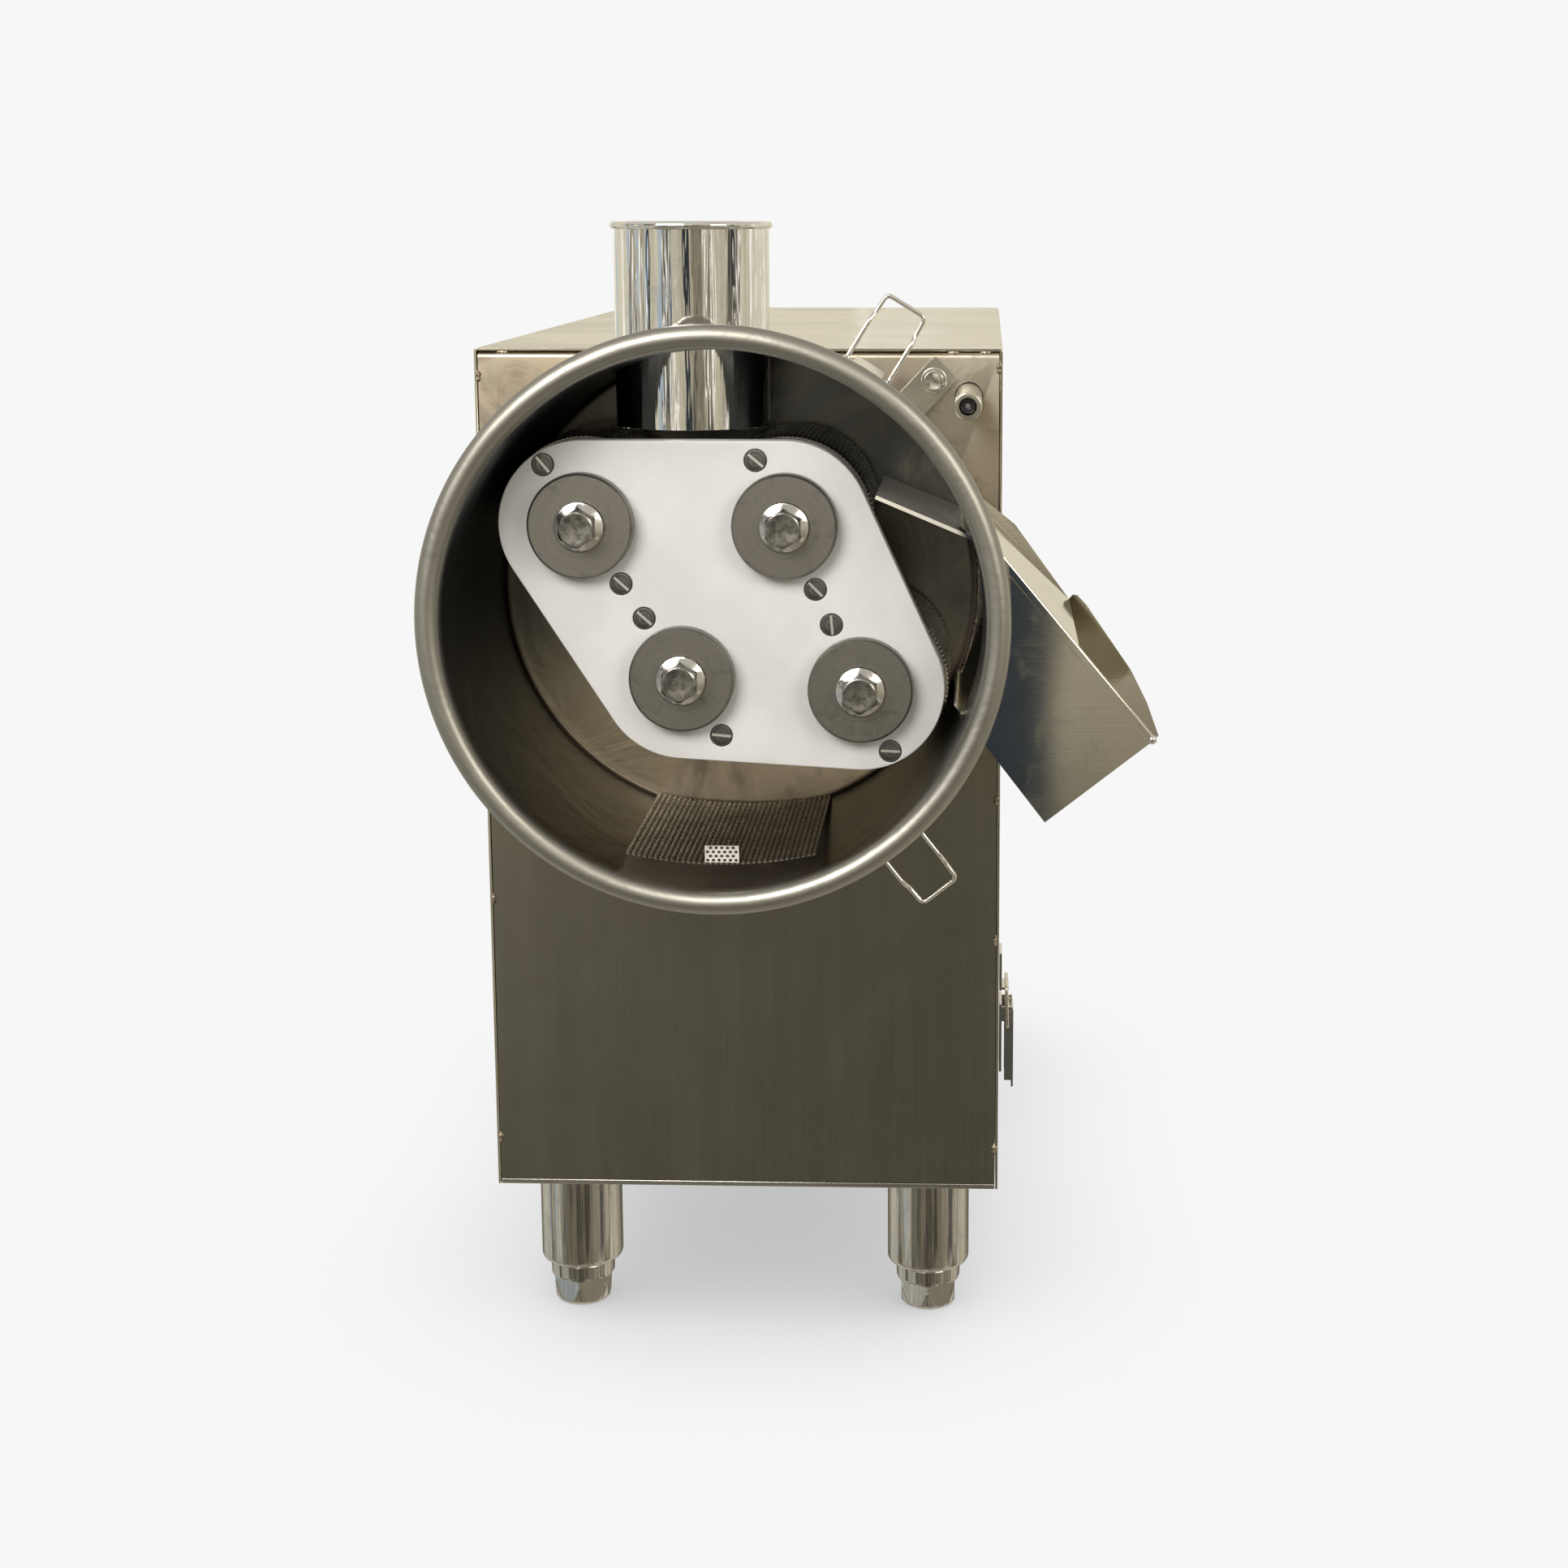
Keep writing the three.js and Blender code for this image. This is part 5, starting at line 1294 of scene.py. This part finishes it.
FLATS_HIGH = 17.5  # height at which the wrench flats end
FOOT_FLATS = 32.6  # across the flats
LEG_BORE, STEM_R, STEM_TOP = 13.5, 12.8, 70  # the tube's inner radius, the foot's threaded stem
leg_steel = mirror_steel("leg_steel", (0.54, 0.515, 0.46), 0.15, 0.4)
foot_steel = mirror_steel("foot_steel", (0.52, 0.50, 0.455), 0.14, 0.2)


def screw_foot(name, at_xy, top_z):
    """Rows of circles up the foot. Between two heights each radius is also kept inside a
    hexagon, half the flats over cosine, which fades out to leave round shoulders."""
    columns = 96
    t = np.linspace(0, 2 * np.pi, columns, endpoint=False)
    hexagon = FOOT_FLATS / 2 / np.cos((t + np.pi / 6) % (np.pi / 3) - np.pi / 6)
    z = np.concatenate([np.linspace(0, 2.4, 5), np.linspace(3, 18, 16), [19, 21, top_z - 1, top_z]])
    cone = np.interp(z, [0, 0.8, 2.5, 15, top_z - 0.6, top_z], [14.3, 15.6, 17, 19.3, 19.7, 19.2])
    fade = np.clip((z - FLATS_HIGH + 1.5) / 2.5, 0, 1) ** 2
    limit = hexagon * (1 - fade[:, None]) + 30 * fade[:, None]
    r = np.minimum(cone[:, None], limit)
    stem = np.array([(STEM_R, top_z), (STEM_R, STEM_TOP), (0, STEM_TOP)])
    r = np.concatenate([np.zeros((1, columns)), r, np.repeat(stem[:, :1], columns, 1)])
    z = np.concatenate([[0], z, stem[:, 1]])
    points = circled(at_xy, r, z[:, None], t, "z")
    return mesh_of(name, points, grid_faces(len(r), columns, True, False), angle=26)


for corner in ("front_left", "front_right", "rear_left", "rear_right"):
    low, high = span(f"leg_sleeve_{corner}")
    place = ((low + high) / 2)[:2]
    radius = (high[0] - low[0]) / 2
    profile = [(LEG_BORE, low[2]), (radius - 4.2, low[2]),
               *arc((radius - 4.0, low[2] + 4.0), 4.0, -90, 0, 8),
               (radius, low[2] + 20), (radius, high[2] - 12), (radius, high[2]),
               (LEG_BORE, high[2]), (LEG_BORE, low[2])]
    sleeve = turned(f"leg_tube_{corner}", profile, place, "z", 96)
    shown(f"leg_tube_{corner}", sleeve, leg_steel, "cabinet",
          (f"leg_sleeve_{corner}",))
    foot = screw_foot(f"screw_foot_{corner}", place, low[2] - 0.4)
    shown(f"screw_foot_{corner}", foot, foot_steel, f"foot_{corner}",
          (f"leg_foot_{corner}",))
